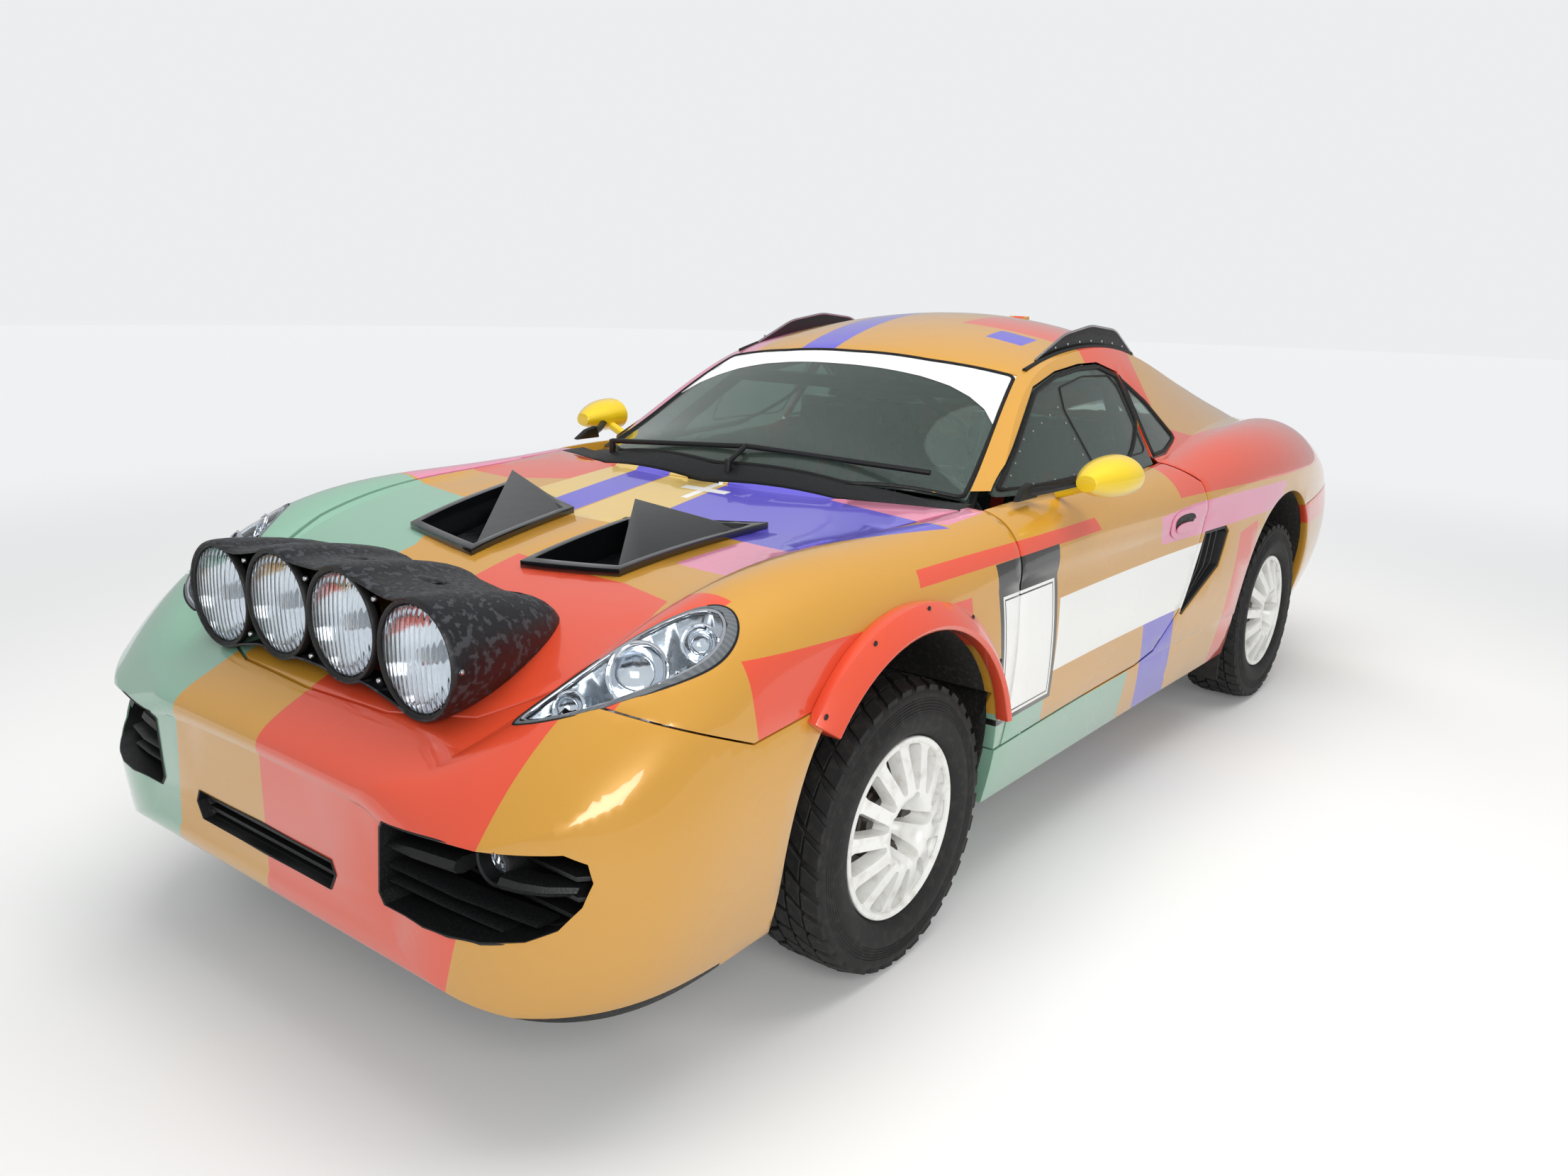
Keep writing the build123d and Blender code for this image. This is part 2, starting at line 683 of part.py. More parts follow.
lamp_seat = pod_radius - pod_wall - fit
with BuildPart() as driving_lamp:
    with BuildSketch(Plane.XZ):
        with BuildLine():
            Polyline((0, 0), (0, lamp_radius), (-12, lamp_radius), (-12, lamp_seat), (-20, lamp_seat),
                     (-20, lamp_radius - 4), (-lamp_depth, 45), (-lamp_depth, 0), close=True)
        make_face()
    revolve(axis=Axis.X)
with BuildPart() as driving_lamps:
    with Locations(*[(lamp.x, side * lamp.y, lamp.z) for lamp in lamps for side in (1, -1)]):
        add(driving_lamp.part)
save("driving_lamps", driving_lamps.part)

# Vents on the lid: a raised rim around a sunk tray, and a faceted cover whose ridge runs from the rear
# right corner to the front left one, on both sides alike
duct_rim_height = 14.0
Facet = namedtuple("Facet", "rear_right front_left rear_left peak")
facets = [Facet((1262, 108, 912), (1548, 332, 856), (1178, 412, 918), (1290, 138, 974)),
          Facet((1178, -412, 918), (1572, -98, 858), (1262, -108, 912), (1232, -362, 978))]
mouth_shift = (14, -8, -7)


def cover(facet):
    """Three-sided peak over a tray."""
    points = [Vector(*place) for place in facet]
    across = points[1] - points[0]
    with BuildPart() as peak:
        with BuildSketch(Plane(origin=points[0], x_dir=across,
                               z_dir=across.cross(points[2] - points[0]))) as foot:
            with BuildLine():
                Polyline(*[foot.workplanes[0].to_local_coords(point) for point in points[:3]], close=True)
            make_face()
        loft(sections=[foot.sketch, Vertex(*points[3])])
    return peak.part


def hood(facet):
    """Hollow peak, open towards its mouth."""
    with BuildPart() as cowl:
        add(cover(facet))
        with Locations(mouth_shift):
            add(cover(facet), mode=Mode.SUBTRACT)
    return cowl.part


with BuildPart() as duct_rim:
    add(left_prism(duct_outline, duct_low_z, duct_high_z))
    add(lower_body(-duct_rim_height), mode=Mode.INTERSECT)
    add(lifted_lower, mode=Mode.SUBTRACT)
with BuildPart() as duct_tray:
    add(left_prism(duct_outline, duct_low_z, duct_high_z, -duct_hole_inset - fit))
    add(side_prism(duct_depth, 0, outboard), mode=Mode.INTERSECT)
    add(lower_body(-duct_rim_height / 2), mode=Mode.INTERSECT)
with BuildPart() as duct_pocket:
    add(left_prism(duct_outline, duct_low_z, duct_high_z, -duct_rim_width))
    add(side_prism([(x, z + duct_wall) for x, z in duct_depth], 0, outboard), mode=Mode.INTERSECT)
with BuildPart() as lid_around_ducts:
    add(lifted_lower)
    add(both(left_prism(duct_outline, 0, sky, -duct_hole_inset - fit)), mode=Mode.SUBTRACT)
with BuildPart() as hoods:
    for facet in facets:
        add(hood(facet))
    add(lid_around_ducts.part, mode=Mode.SUBTRACT)
with BuildPart() as bonnet_ducts:
    add(both(duct_rim.part))
    add(both(duct_tray.part))
    add(both(duct_pocket.part), mode=Mode.SUBTRACT)
    add(hoods.part)
save("bonnet_ducts", bonnet_ducts.part)

# Nose openings
centre_intake = [(-228, 376), (228, 376), (247, 410), (234, 436), (-234, 436), (-247, 410)]
side_intake = [(384, 424), (398, 405), (630, 410), (700, 421), (744, 444), (772, 484), (782, 524), (774, 556),
               (746, 573), (560, 570), (412, 566), (396, 550)]
intake_depth = 90.0
nose_x = 2172.0


recess = lower_body(10)


def slats(outline, count, low, high, front):
    """Level slats across an intake, on a plate behind it."""
    pitch = (high - low) / (count + 1)
    with BuildPart() as grille:
        add(front_prism(outline, front - 60, front))
        add(front_prism(outline, front - 60, front, -4 - fit), mode=Mode.SUBTRACT)
        for step in range(count):
            z = low + pitch * (step + 1)
            add(box((front - 60, min(y for y, _ in outline), z - 4),
                    (front, max(y for y, _ in outline), z + 4)))
        add(front_prism(outline, front - 68, front - 60))
        add(front_prism(outline, front - 68, front, -fit), mode=Mode.INTERSECT)
        add(recess, mode=Mode.INTERSECT)
    return grille.part


with BuildPart() as bumper_with_intakes:
    add(front_bumper.part)
    add(front_prism(centre_intake, 1800, 2300), mode=Mode.SUBTRACT)
    add(both(front_prism(side_intake, 1800, 2300)), mode=Mode.SUBTRACT)
save("front_bumper", bumper_with_intakes.part)

fog_lamp_places = [(2072, 590, 516), (2072, -590, 516)]
fog_lamp_radius = 46.0

# Intakes behind the doors: a sloping frame with three vanes in front of a plate
vane_shares = (0.25, 0.5, 0.75)
vane_width = 9.0
plate_y = 822.0
with BuildPart() as vane_strips:
    for share in vane_shares:
        head = -464 - 164 * share
        middle = -396 - 194 * share
        add(side_prism([(head, 740), (head - vane_width, 740), (middle - vane_width, 625), (-329, 500),
                        (-321, 504), (middle, 625)], plate_y, outboard))
with BuildPart() as frame_ring:
    add(lower_body(3))
    add(side_prism(quarter_intake_outline, 700, outboard, -fit), mode=Mode.INTERSECT)
    add(side_prism(quarter_intake_outline, plate_y, outboard, -10), mode=Mode.SUBTRACT)
    add(side_prism(quarter_intake_outline, 700, plate_y - liner), mode=Mode.SUBTRACT)
with BuildPart() as quarter_vanes:
    add(lower_body(14))
    add(vane_strips.part, mode=Mode.INTERSECT)
    add(side_prism(quarter_intake_outline, plate_y, outboard, -10), mode=Mode.INTERSECT)
    add(frame_ring.part)

with BuildPart() as intake_grilles:
    add(slats(centre_intake, 2, 372, 438, 2152))
    add(both(slats(side_intake, 3, 420, 562, 2050)))
    with Locations(*fog_lamp_places):
        Cylinder(fog_lamp_radius + fit, 62, rotation=(0, 90, 0), mode=Mode.SUBTRACT)
    add(both(quarter_vanes.part))
save("intake_grilles", intake_grilles.part)

with BuildPart() as fog_lamps:
    with Locations(*fog_lamp_places):
        Cylinder(fog_lamp_radius, 60, rotation=(0, 90, 0))
save("fog_lamps", fog_lamps.part)

with BuildPart() as front_lip:
    add(lower)
    add(box((1760, -outboard, 245), (2300, outboard, 262)), mode=Mode.INTERSECT)
save("front_lip", front_lip.part)

# Wheels and tyres
disc_offset = 34.0
tyre_half = tyre_width / 2
bead_radius = 190.0
tyre_profile = [(80.4, bead_radius + 2.2), (80.4, rim_lip_radius + 0.6), (97, 222), (tyre_half, 262),
                (97, 302), (86, tyre_radius - 4), (60, tyre_radius)]


def tyre_at(x, y):
    """Tyre about a wheel centre."""
    outside = tyre_profile + [(-a, r) for a, r in reversed(tyre_profile)]
    inside = [(-66, bead_radius + 2.2), (-66, 208), (-86, 226), (-90, 262), (-82, 296), (82, 296), (90, 262),
              (86, 226), (66, 208), (66, bead_radius + 2.2)]
    with BuildPart() as tyre:
        with BuildSketch(Plane(origin=(x, y, tyre_radius), x_dir=(0, 1, 0), z_dir=(1, 0, 0))):
            with BuildLine():
                Polyline(*outside, *inside, close=True)
            make_face()
        revolve(axis=Axis((x, y, tyre_radius), (0, 1, 0)))
    return tyre.part


def wheel_at(x, y, side):
    """Rim, spokes, hub and brake disc about a wheel centre, facing out to one side."""
    plane = Plane(origin=(x, y, tyre_radius), x_dir=(0, side, 0), z_dir=(side, 0, 0))
    half = rim_width / 2
    barrel = [(-half, rim_lip_radius), (-half, bead_radius - 6), (-half + 16, rim_barrel_radius - 5),
              (half - 16, rim_barrel_radius - 5), (half, bead_radius - 4), (half, rim_lip_radius),
              (half - 7, rim_lip_radius), (half - 7, bead_radius + 1.7), (half - 22, bead_radius + 1.7),
              (half - 24, rim_barrel_radius + 2), (-half + 24, rim_barrel_radius + 2),
              (-half + 22, bead_radius + 1.7), (-half + 7, bead_radius + 1.7), (-half + 7, rim_lip_radius)]
    centre = [(-2, spindle_radius + fit), (-2, 88), (30, 88), (38, 66), (68, 80), (74, 100), (102, 100),
              (109, 84), (101, 69), (37, 44), (30, 40), (30, spindle_radius + fit)]
    disc = [(-disc_offset - disc_thickness, 84), (-disc_offset - disc_thickness, disc_radius),
            (-disc_offset, disc_radius), (-disc_offset, 84), (-2, 84), (-2, spindle_radius + fit),
            (-12, spindle_radius + fit), (-12, 76), (-disc_offset - disc_thickness, 76)]
    with BuildPart() as wheel:
        for outline in (barrel, centre, disc):
            with BuildSketch(plane):
                with BuildLine():
                    Polyline(*outline, close=True)
                make_face()
            revolve(axis=Axis((x, y, tyre_radius), (0, 1, 0)))
        for step in range(spoke_count):
            turn = radians(step * 360 / spoke_count)
            arm = Plane(origin=(x, y, tyre_radius), x_dir=(0, side, 0),
                        z_dir=(cos(turn), 0, sin(turn)))
            with BuildSketch(arm.offset(96)):
                with Locations((88, 0)):
                    Rectangle(28, 24)
            with BuildSketch(arm.offset(rim_barrel_radius - 2)):
                with Locations((64, 0)):
                    Rectangle(34, 26)
            loft()
    return wheel.part


corners = [("front_left", front_axle_x, front_track / 2, 1),
           ("front_right", front_axle_x, -front_track / 2, -1),
           ("rear_left", rear_axle_x, rear_track / 2, 1), ("rear_right", rear_axle_x, -rear_track / 2, -1)]
for corner, x, y, side in corners:
    save(f"tyre_{corner}", tyre_at(x, y))
    save(f"wheel_{corner}", wheel_at(x, y, side))

# Uprights carry the wheels; the front ones turn about the king pins
upright_inner = 128.0
upright_outer = 88.0
arm_z = 232.0


def upright_at(x, y, side):
    """Upright with its spindle, brake caliper and the socket for the strut."""
    hub_y = y - side * upright_outer
    inner_y = y - side * upright_inner
    with BuildPart() as upright:
        add(box((x - 60, min(hub_y, inner_y), 250), (x + 60, max(hub_y, inner_y), 430)))
        add(rod((x, hub_y, tyre_radius), (x, y + side * 20, tyre_radius), spindle_radius))
        add(box((x - 26, min(inner_y, inner_y - side * 46), 380),
                (x + 26, max(inner_y, inner_y - side * 46), 430)))
        add(rod((x, y - side * kingpin_offset, 250), (x, y - side * kingpin_offset, arm_z + 14),
                kingpin_radius))
        caliper_in = y - side * (disc_offset + disc_thickness + 5)
        caliper_out = y - side * (disc_offset - 5)
        with BuildSketch(Plane.XZ.offset(-max(caliper_in - side * 34, caliper_out + side * 14))):
            with BuildLine():
                Polyline((x + 95, 300), (x + 146, 292), (x + 164, tyre_radius), (x + 146, 364), (x + 95, 356),
                         close=True)
            make_face()
        extrude(amount=abs(caliper_out - caliper_in) + 48)
        add(box((x + 50, min(hub_y, inner_y), 306), (x + 104, max(hub_y, inner_y), 350)))
        with BuildSketch(Plane.XZ.offset(-max(caliper_in, caliper_out))):
            with Locations((x, tyre_radius)):
                Circle(disc_radius + 5)
        extrude(amount=abs(caliper_out - caliper_in), mode=Mode.SUBTRACT)
        add(rod((x, hub_y, tyre_radius), (x, y + side * 20, tyre_radius), spindle_radius))
        add(rod((x, y - side * 60, tyre_radius), (x, inner_y, tyre_radius), 60))
    return upright.part


for corner, x, y, side in corners:
    if corner.startswith("front"):
        save(f"knuckle_{corner}", upright_at(x, y, side))

# Suspension, axles and brakes that stay with the body
pivot_y = 400.0
ball_radius = 17.0
strut_radius = 24.0
strut_pin_radius = 14.0
spring_radius = 28.0


def well_ceiling(x, arch_x, radius):
    """Height of a wheel opening's roof above a bar of the strut's top at x."""
    return arch_z + sqrt(radius ** 2 - (abs(x - arch_x) + strut_pin_radius) ** 2)


def suspension_at(x, y, side, shaft_y, strut_top):
    """Lower arm, strut and spring of one corner, with a drive shaft where shaft_y is given."""
    ball_y = y - side * kingpin_offset
    strut_y = y - side * (upright_inner + 22)
    with BuildPart() as corner_part:
        add(rod((x, ball_y, arm_z + 14 - fit), (x, ball_y, arm_z - 14), ball_radius))
        add(rod((x, ball_y, arm_z), (x + 150, side * pivot_y, arm_z), 13))
        add(rod((x, ball_y, arm_z), (x - 150, side * pivot_y, arm_z), 13))
        for step in (-150, 150):
            add(rod((x + step - 26, side * pivot_y, arm_z), (x + step + 26, side * pivot_y, arm_z), 22))
            add(rod((x + step, side * pivot_y, arm_z), (x + step, side * pivot_y, 261), 14))
        add(rod((x, strut_y, 430 + fit), (x, strut_y, 560), strut_radius))
        add(rod((x, strut_y, 560), (x, strut_y, strut_top), strut_pin_radius))
        add(rod((x, strut_y, 556), (x, strut_y, 562), spring_radius + 6))
        add(rod((x, strut_y, strut_top - 30), (x, strut_y, strut_top - 20), spring_radius + 6))
        if shaft_y:
            add(rod((x, y - side * (upright_inner + fit), tyre_radius),
                    (x, side * shaft_y, tyre_radius + 20), 16))
    return corner_part.part


with BuildPart() as front_suspension:
    add(both(suspension_at(front_axle_x, front_track / 2, 1, 0,
                           well_ceiling(front_axle_x, front_arch_x, front_arch_radius) - fit)))
    add(both(rod((front_axle_x - 110, front_well_y + fit, 300), (front_axle_x - 110, 570, 300), 10)))
save("front_suspension", front_suspension.part)

with BuildPart() as rear_suspension:
    add(both(suspension_at(rear_axle_x, rear_track / 2, 1, 190 + fit,
                           well_ceiling(rear_axle_x, rear_arch_x, rear_arch_radius) - fit)))
    add(both(upright_at(rear_axle_x, rear_track / 2, 1)))
save("rear_suspension", rear_suspension.part)

# Engine and gearbox as one plain block, and the exhaust behind them
with BuildPart() as engine_block:
    add(box((-1120, -300, 330), (-600, 300, 720)))
    add(box((-1480, -190, 340), (-1120, 190, 560)))
save("engine_block", engine_block.part)

with BuildPart() as exhaust:
    add(rod((-1740, -330, 400), (-1740, 330, 400), 78))
    add(rod((-1740, -rail_inner_y + fit, 400), (-1740, rail_inner_y - fit, 400), 10))
    add(rod((-1740, -60, 330), (-2120, -60, 300), 38))
    add(rod((-1740, 60, 330), (-2120, 60, 300), 38))
save("exhaust", exhaust.part)

# Cabin
seat_y = 350.0
with BuildPart() as seat_shell:
    with BuildSketch(Plane.XZ.offset(-(seat_y + 225))):
        with BuildLine():
            Polyline((180, floor_top), (200, 400), (-180, 400), (-280, 1060), (-370, 1060),
                     (-280, floor_top), close=True)
        make_face()
    extrude(amount=450)
    with BuildSketch(Plane.XZ.offset(-(seat_y + 190))):
        with BuildLine():
            Polyline((260, 372), (260, 700), (-190, 1020), (-320, 1020), (-215, 372), close=True)
        make_face()
    extrude(amount=380, mode=Mode.SUBTRACT)
save("seat_shells", both(seat_shell.part))

with BuildPart() as seat_cushion:
    add(box((-150, seat_y - 186, 372.3), (180, seat_y + 186, 440)))
    fillet(seat_cushion.edges().filter_by(Axis.Y), 20)
save("seat_cushions", both(seat_cushion.part))

with BuildPart() as dashboard:
    with BuildSketch(Plane.XZ.offset(-550)):
        with BuildLine():
            Polyline((front_bulkhead_x - fit, 640), (front_bulkhead_x - fit, 900), (560, 925), (420, 890),
                     (400, 780), (470, 640), close=True)
        make_face()
    extrude(amount=1100)
save("dashboard", dashboard.part)

wheel_tilt = 22.0
steering_centre = (300.0, seat_y, 800.0)
column_dir = (cos(radians(wheel_tilt)), 0, -sin(radians(wheel_tilt)))
with BuildPart() as steering_wheel:
    rim_plane = Plane(origin=steering_centre, x_dir=(0, 1, 0), z_dir=column_dir)
    with BuildSketch(rim_plane):
        Circle(175)
        Circle(150, mode=Mode.SUBTRACT)
        Circle(46)
        with Locations((0, 0)):
            Rectangle(310, 34)
            Rectangle(34, 310)
    extrude(amount=12, both=True)
    with BuildSketch(rim_plane):
        Circle(18)
    extrude(amount=96)
save("steering_wheel", steering_wheel.part)

with BuildPart() as steering_column:
    end = tuple(a + 96.3 * b for a, b in zip(steering_centre, column_dir))
    start = tuple(a + 150 * b for a, b in zip(steering_centre, column_dir))
    add(rod(end, start, 34))
    add(dashboard.part, mode=Mode.SUBTRACT)
save("steering_column", steering_column.part)

cage_radius = 20.0
hoop_y = 560.0
hoop_x = -440.0
with BuildPart() as roll_cage:
    add(tube_path([(hoop_x, 600, floor_top), (hoop_x, 600, 930), (hoop_x, 470, 1255), (hoop_x, -470, 1255),
                   (hoop_x, -600, 930), (hoop_x, -600, floor_top)], cage_radius, 90))
    for side in (1, -1):
        add(tube_path([(640, side * 620, floor_top), (640, side * 620, 850), (190, side * 470, 1165),
                       (hoop_x, side * 440, 1255)], cage_radius, 60))
        add(rod((hoop_x, side * 430, 1245), (-1300, side * 430, deck_z + bulkhead_thickness + 18.6),
                cage_radius))
        add(rod((640, side * 620, 500), (hoop_x, side * 600, 640), cage_radius))
    add(rod((190, -470, 1165), (190, 470, 1165), cage_radius))
    add(rod((hoop_x, -590, 820), (hoop_x, 590, 820), cage_radius))
save("roll_cage", roll_cage.part)

with BuildPart() as wipers:
    add(rod((800, 60, 1042), (690, 560, 1016), 7))
    add(rod((808, -430, 1008), (800, 50, 1040), 7))
    add(rod((870, 60, 930), (870, 60, 1014), 9))
    add(rod((870, 60, 1006), (800, 60, 1042), 7))
    add(rod((808, -430, 920), (808, -430, 1012), 9))
    add(lifted, mode=Mode.SUBTRACT)
save("wipers", wipers.part)

with BuildPart() as mud_flaps:
    add(box((-827, 640, 160), (-820 - fit, 840, 400)))
    mirror(about=Plane.XZ)
save("mud_flaps", mud_flaps.part)
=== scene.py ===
"""Looks of a gravel rally coupe: its finishes, and the pieces that replace or dress the plain frame.

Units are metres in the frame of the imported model: +X forward, +Y to the car's left, +Z up.
"""

import json
from math import cos, pi, radians, sin, sqrt

import bmesh
import bpy
from mathutils import Matrix, Vector
from mathutils.bvhtree import BVHTree


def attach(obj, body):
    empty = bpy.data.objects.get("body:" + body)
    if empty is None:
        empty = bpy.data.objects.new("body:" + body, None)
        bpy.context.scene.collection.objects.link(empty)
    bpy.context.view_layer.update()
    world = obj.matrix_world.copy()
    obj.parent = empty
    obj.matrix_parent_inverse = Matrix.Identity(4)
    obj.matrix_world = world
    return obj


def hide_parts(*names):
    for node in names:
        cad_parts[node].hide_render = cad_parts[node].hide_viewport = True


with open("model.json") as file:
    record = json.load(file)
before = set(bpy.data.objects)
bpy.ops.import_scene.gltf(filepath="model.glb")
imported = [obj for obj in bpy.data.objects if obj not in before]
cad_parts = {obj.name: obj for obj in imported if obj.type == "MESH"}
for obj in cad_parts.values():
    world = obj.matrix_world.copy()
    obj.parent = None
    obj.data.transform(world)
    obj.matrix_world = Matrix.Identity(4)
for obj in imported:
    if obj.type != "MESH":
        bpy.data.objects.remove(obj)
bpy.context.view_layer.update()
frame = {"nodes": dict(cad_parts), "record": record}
nodes = frame["nodes"]

# Running gear, in metres
wheel_centres = {
    "front_left": Vector((1.185, 0.745, 0.328)), "front_right": Vector((1.185, -0.745, 0.328)),
    "rear_left": Vector((-1.23, 0.765, 0.328)), "rear_right": Vector((-1.23, -0.765, 0.328)),
}
across = Matrix.Diagonal((1, -1, 1, 1))
views = {"side": ("x", "z"), "top": ("x", "y"), "front": ("y", "z")}
axes = {"x": Vector((1, 0, 0)), "y": Vector((0, 1, 0)), "z": Vector((0, 0, 1))}

# Finishes


def linear(hex_colour):
    """Linear colour of an sRGB hex value."""
    channels = [int(hex_colour[i:i + 2], 16) / 255 for i in (0, 2, 4)]
    return [c / 12.92 if c <= 0.04045 else ((c + 0.055) / 1.055) ** 2.4 for c in channels] + [1.0]


def add_node(tree, kind, settings=None, **inputs):
    """One shader node; an input is a value or the output of another node, by the input's name or number."""
    made = tree.nodes.new("ShaderNode" + kind)
    for key, value in (settings or {}).items():
        setattr(made, key, value)
    for key, value in inputs.items():
        socket = made.inputs[int(key[1:])] if key[0] == "i" and key[1:].isdigit() else \
            made.inputs[key.replace("_", " ")]
        if isinstance(value, bpy.types.NodeSocket):
            tree.links.new(value, socket)
        else:
            socket.default_value = value
    return made


def finish(name, colour, **surface):
    """A material with one principled surface; returns the material, its tree and the surface's node."""
    material = bpy.data.materials.new(name)
    material.use_nodes = True
    tree = material.node_tree
    shader = tree.nodes["Principled BSDF"]
    shader.inputs["Base Color"].default_value = linear(colour)
    for key, value in surface.items():
        shader.inputs[key.replace("_", " ")].default_value = value
    return material, tree, shader


def place(tree):
    """The place of a point on a piece, in metres."""
    return add_node(tree, "TexCoord").outputs["Object"]


def figure(tree, pattern):
    """Pattern over a piece: noise from (spot size, detail), or waves from (axis, scale, distortion)."""
    if isinstance(pattern[0], str):
        axis, scale, distortion = pattern
        return add_node(tree, "TexWave", {"bands_direction": axis}, Vector=place(tree), Scale=scale,
                        Distortion=distortion).outputs["Fac"]
    size, detail = pattern
    return add_node(tree, "TexNoise", Vector=place(tree), Scale=1 / size, Detail=detail).outputs["Fac"]


def raise_surface(tree, shader, height, distance):
    """Gives a surface the relief of a height pattern."""
    bump = add_node(tree, "Bump", Height=height, Distance=distance, Strength=1.0)
    tree.links.new(bump.outputs[0], shader.inputs["Normal"])


# Nearly all of a noise lies between these values
noise_low, noise_high = 0.35, 0.65


def vary(tree, socket, pattern, low, high):
    """Drives a number between two values by a pattern."""
    spread = add_node(tree, "MapRange", Value=pattern, From_Min=noise_low, From_Max=noise_high, To_Min=low,
                      To_Max=high)
    tree.links.new(spread.outputs[0], socket)


def two_tone(tree, socket, pattern, first, second, low, high):
    """Mixes two colours where a pattern goes from a low value to a high one."""
    amount = add_node(tree, "MapRange", Value=pattern, From_Min=low, From_Max=high).outputs[0]
    mix = add_node(tree, "Mix", {"data_type": "RGBA"}, Factor=amount, i6=linear(first), i7=linear(second))
    tree.links.new(mix.outputs[2], socket)


def coat(name, colour, relief=None, tones=None, gloss=None, **surface):
    """A material: relief is (pattern, height), tones are (pattern, two colours, low, high) and gloss is
    (pattern, least and greatest roughness)."""
    material, tree, shader = finish(name, colour, **surface)
    if tones:
        two_tone(tree, shader.inputs["Base Color"], figure(tree, tones[0]), *tones[1:])
    if gloss:
        vary(tree, shader.inputs["Roughness"], figure(tree, gloss[0]), *gloss[1:])
    if relief:
        raise_surface(tree, shader, figure(tree, relief[0]), relief[1])
    return material


# Livery colours
gold = "C6902F"
sand = "D8B765"
orange = "D9492A"
purple = "5A50C4"
pink = "D9829F"
mint = "84AD97"
white = "EDEDEA"
black = "0E0E0F"

# Colour blocks: the colour, the view that its outline is drawn in, and the outline. Later ones lie over earlier ones.
side_blocks = [
    (mint, "side", [(0.59, 0.0), (1.7, 0.0), (1.7, 0.512), (0.82, 0.503), (0.585, 0.472)]),
    (mint, "side", [(0.045, 0.0), (0.62, 0.0), (0.59, 0.408), (0.02, 0.402)]),
    (orange, "side", [(0.84, 0.51), (1.7, 0.53), (1.7, 0.842), (0.975, 0.842), (0.975, 0.806), (0.84, 0.803)]),
    (orange, "side", [(0.297, 0.856), (1.16, 0.858), (1.145, 0.89), (0.32, 0.89)]),
    (purple, "side", [(-0.041, 0.532), (-0.062, 0.4), (-0.098, 0.2), (-0.325, 0.2), (-0.269, 0.532)]),
    (orange, "side", [(0.235, 0.93), (0.162, 0.873), (-0.285, 0.864), (-0.292, 0.7), (-2.3, 0.62), (-2.3, 1.2),
                      (0.235, 1.2)]),
    (pink, "side", [(-0.117, 0.83), (-0.142, 0.736), (-0.44, 0.737), (-1.1, 0.716), (-1.16, 0.826),
                    (-0.393, 0.838)]),
    (gold, "side", [(-0.645, 0.702), (-0.752, 0.698), (-0.655, 0.3), (-0.3, 0.3), (-0.3, 0.52)]),
    (orange, "side", [(-0.752, 0.698), (-0.655, 0.2), (-0.9, 0.2), (-0.9, 0.72)]),
    (gold, "side", [(-1.4, 0.2), (-1.45, 0.6), (-2.3, 0.66), (-2.3, 0.2)]),
    (white, "side", [(0.55, 0.535), (0.53, 0.719), (-0.441, 0.709), (-0.368, 0.524)]),
    (black, "side", [(0.853, 0.856), (0.545, 0.858), (0.551, 0.468), (0.848, 0.472)]),
    (white, "side", [(0.832, 0.779), (0.563, 0.776), (0.567, 0.48), (0.836, 0.484)]),
    (black, "side", [(0.826, 0.772), (0.571, 0.769), (0.574, 0.487), (0.829, 0.491)]),
    (white, "side", [(0.822, 0.768), (0.575, 0.765), (0.578, 0.491), (0.825, 0.495)]),
]
lid_blocks = [
    (mint, "top", [(1.335, -0.418), (1.318, -0.9), (2.3, -0.9), (2.3, -0.264), (1.604, -0.264)]),
    (orange, "top", [(1.134, -0.505), (1.031, -0.305), (0.6, -0.345), (0.6, -0.72), (1.134, -0.72)]),
    (sand, "top", [(0.6, -0.345), (1.3, -0.345), (1.3, -0.2), (0.6, -0.275)]),
    (purple, "top", [(0.6, -0.272), (1.44, -0.215), (1.44, -0.1), (0.6, -0.135)]),
    (sand, "top", [(0.6, -0.135), (1.285, -0.098), (1.285, 0.108), (0.6, 0.064)]),
    (purple, "top", [(0.6, 0.064), (1.2, 0.105), (1.318, 0.63), (0.6, 0.8)]),
    (pink, "top", [(1.276, 0.455), (1.316, 0.62), (1.5, 0.6), (1.455, 0.42)]),
    (pink, "top", [(0.885, 0.4), (0.6, 0.4), (0.6, 0.8), (0.93, 0.7)]),
    (orange, "top", [(1.53, 0.012), (1.578, 0.397), (1.629, 0.56), (2.4, 0.7), (2.4, 0.012)]),
    (white, "top", [(0.951, -0.01), (0.977, -0.01), (0.977, 0.14), (0.951, 0.14)]),
    (white, "top", [(0.88, 0.046), (1.045, 0.054), (1.045, 0.076), (0.88, 0.068)]),
]
wing_blocks = [
    (purple, "top", [(0.93, 0.7), (1.31, 0.6), (1.27, 0.66), (0.915, 0.752)]),
    (pink, "top", [(0.75, 0.6), (1.0, 0.6), (0.93, 0.7), (0.915, 0.74), (0.72, 0.74)]),
    (pink, "top", [(1.31, 0.55), (1.45, 0.55), (1.45, 0.625), (1.27, 0.665)]),
    (orange, "top", [(1.629, 0.5), (2.3, 0.5), (2.3, 0.7), (1.63, 0.72)]),
    (pink, "top", [(0.5, -0.4), (0.5, -1.0), (1.34, -1.0), (1.32, -0.4)]),
    (mint, "top", [(1.32, -0.4), (1.35, -0.8), (2.3, -0.8), (2.3, -0.4)]),
]
nose_blocks = [
    (mint, "front", [(-1.0, 0.0), (-1.0, 1.0), (-0.264, 1.0), (-0.3, 0.62), (-0.36, 0.0)]),
    (orange, "front", [(0.014, 1.0), (0.014, 0.0), (0.6, 0.0), (0.618, 0.399), (0.652, 0.611), (0.7, 0.76),
                       (0.7, 1.0)]),
]
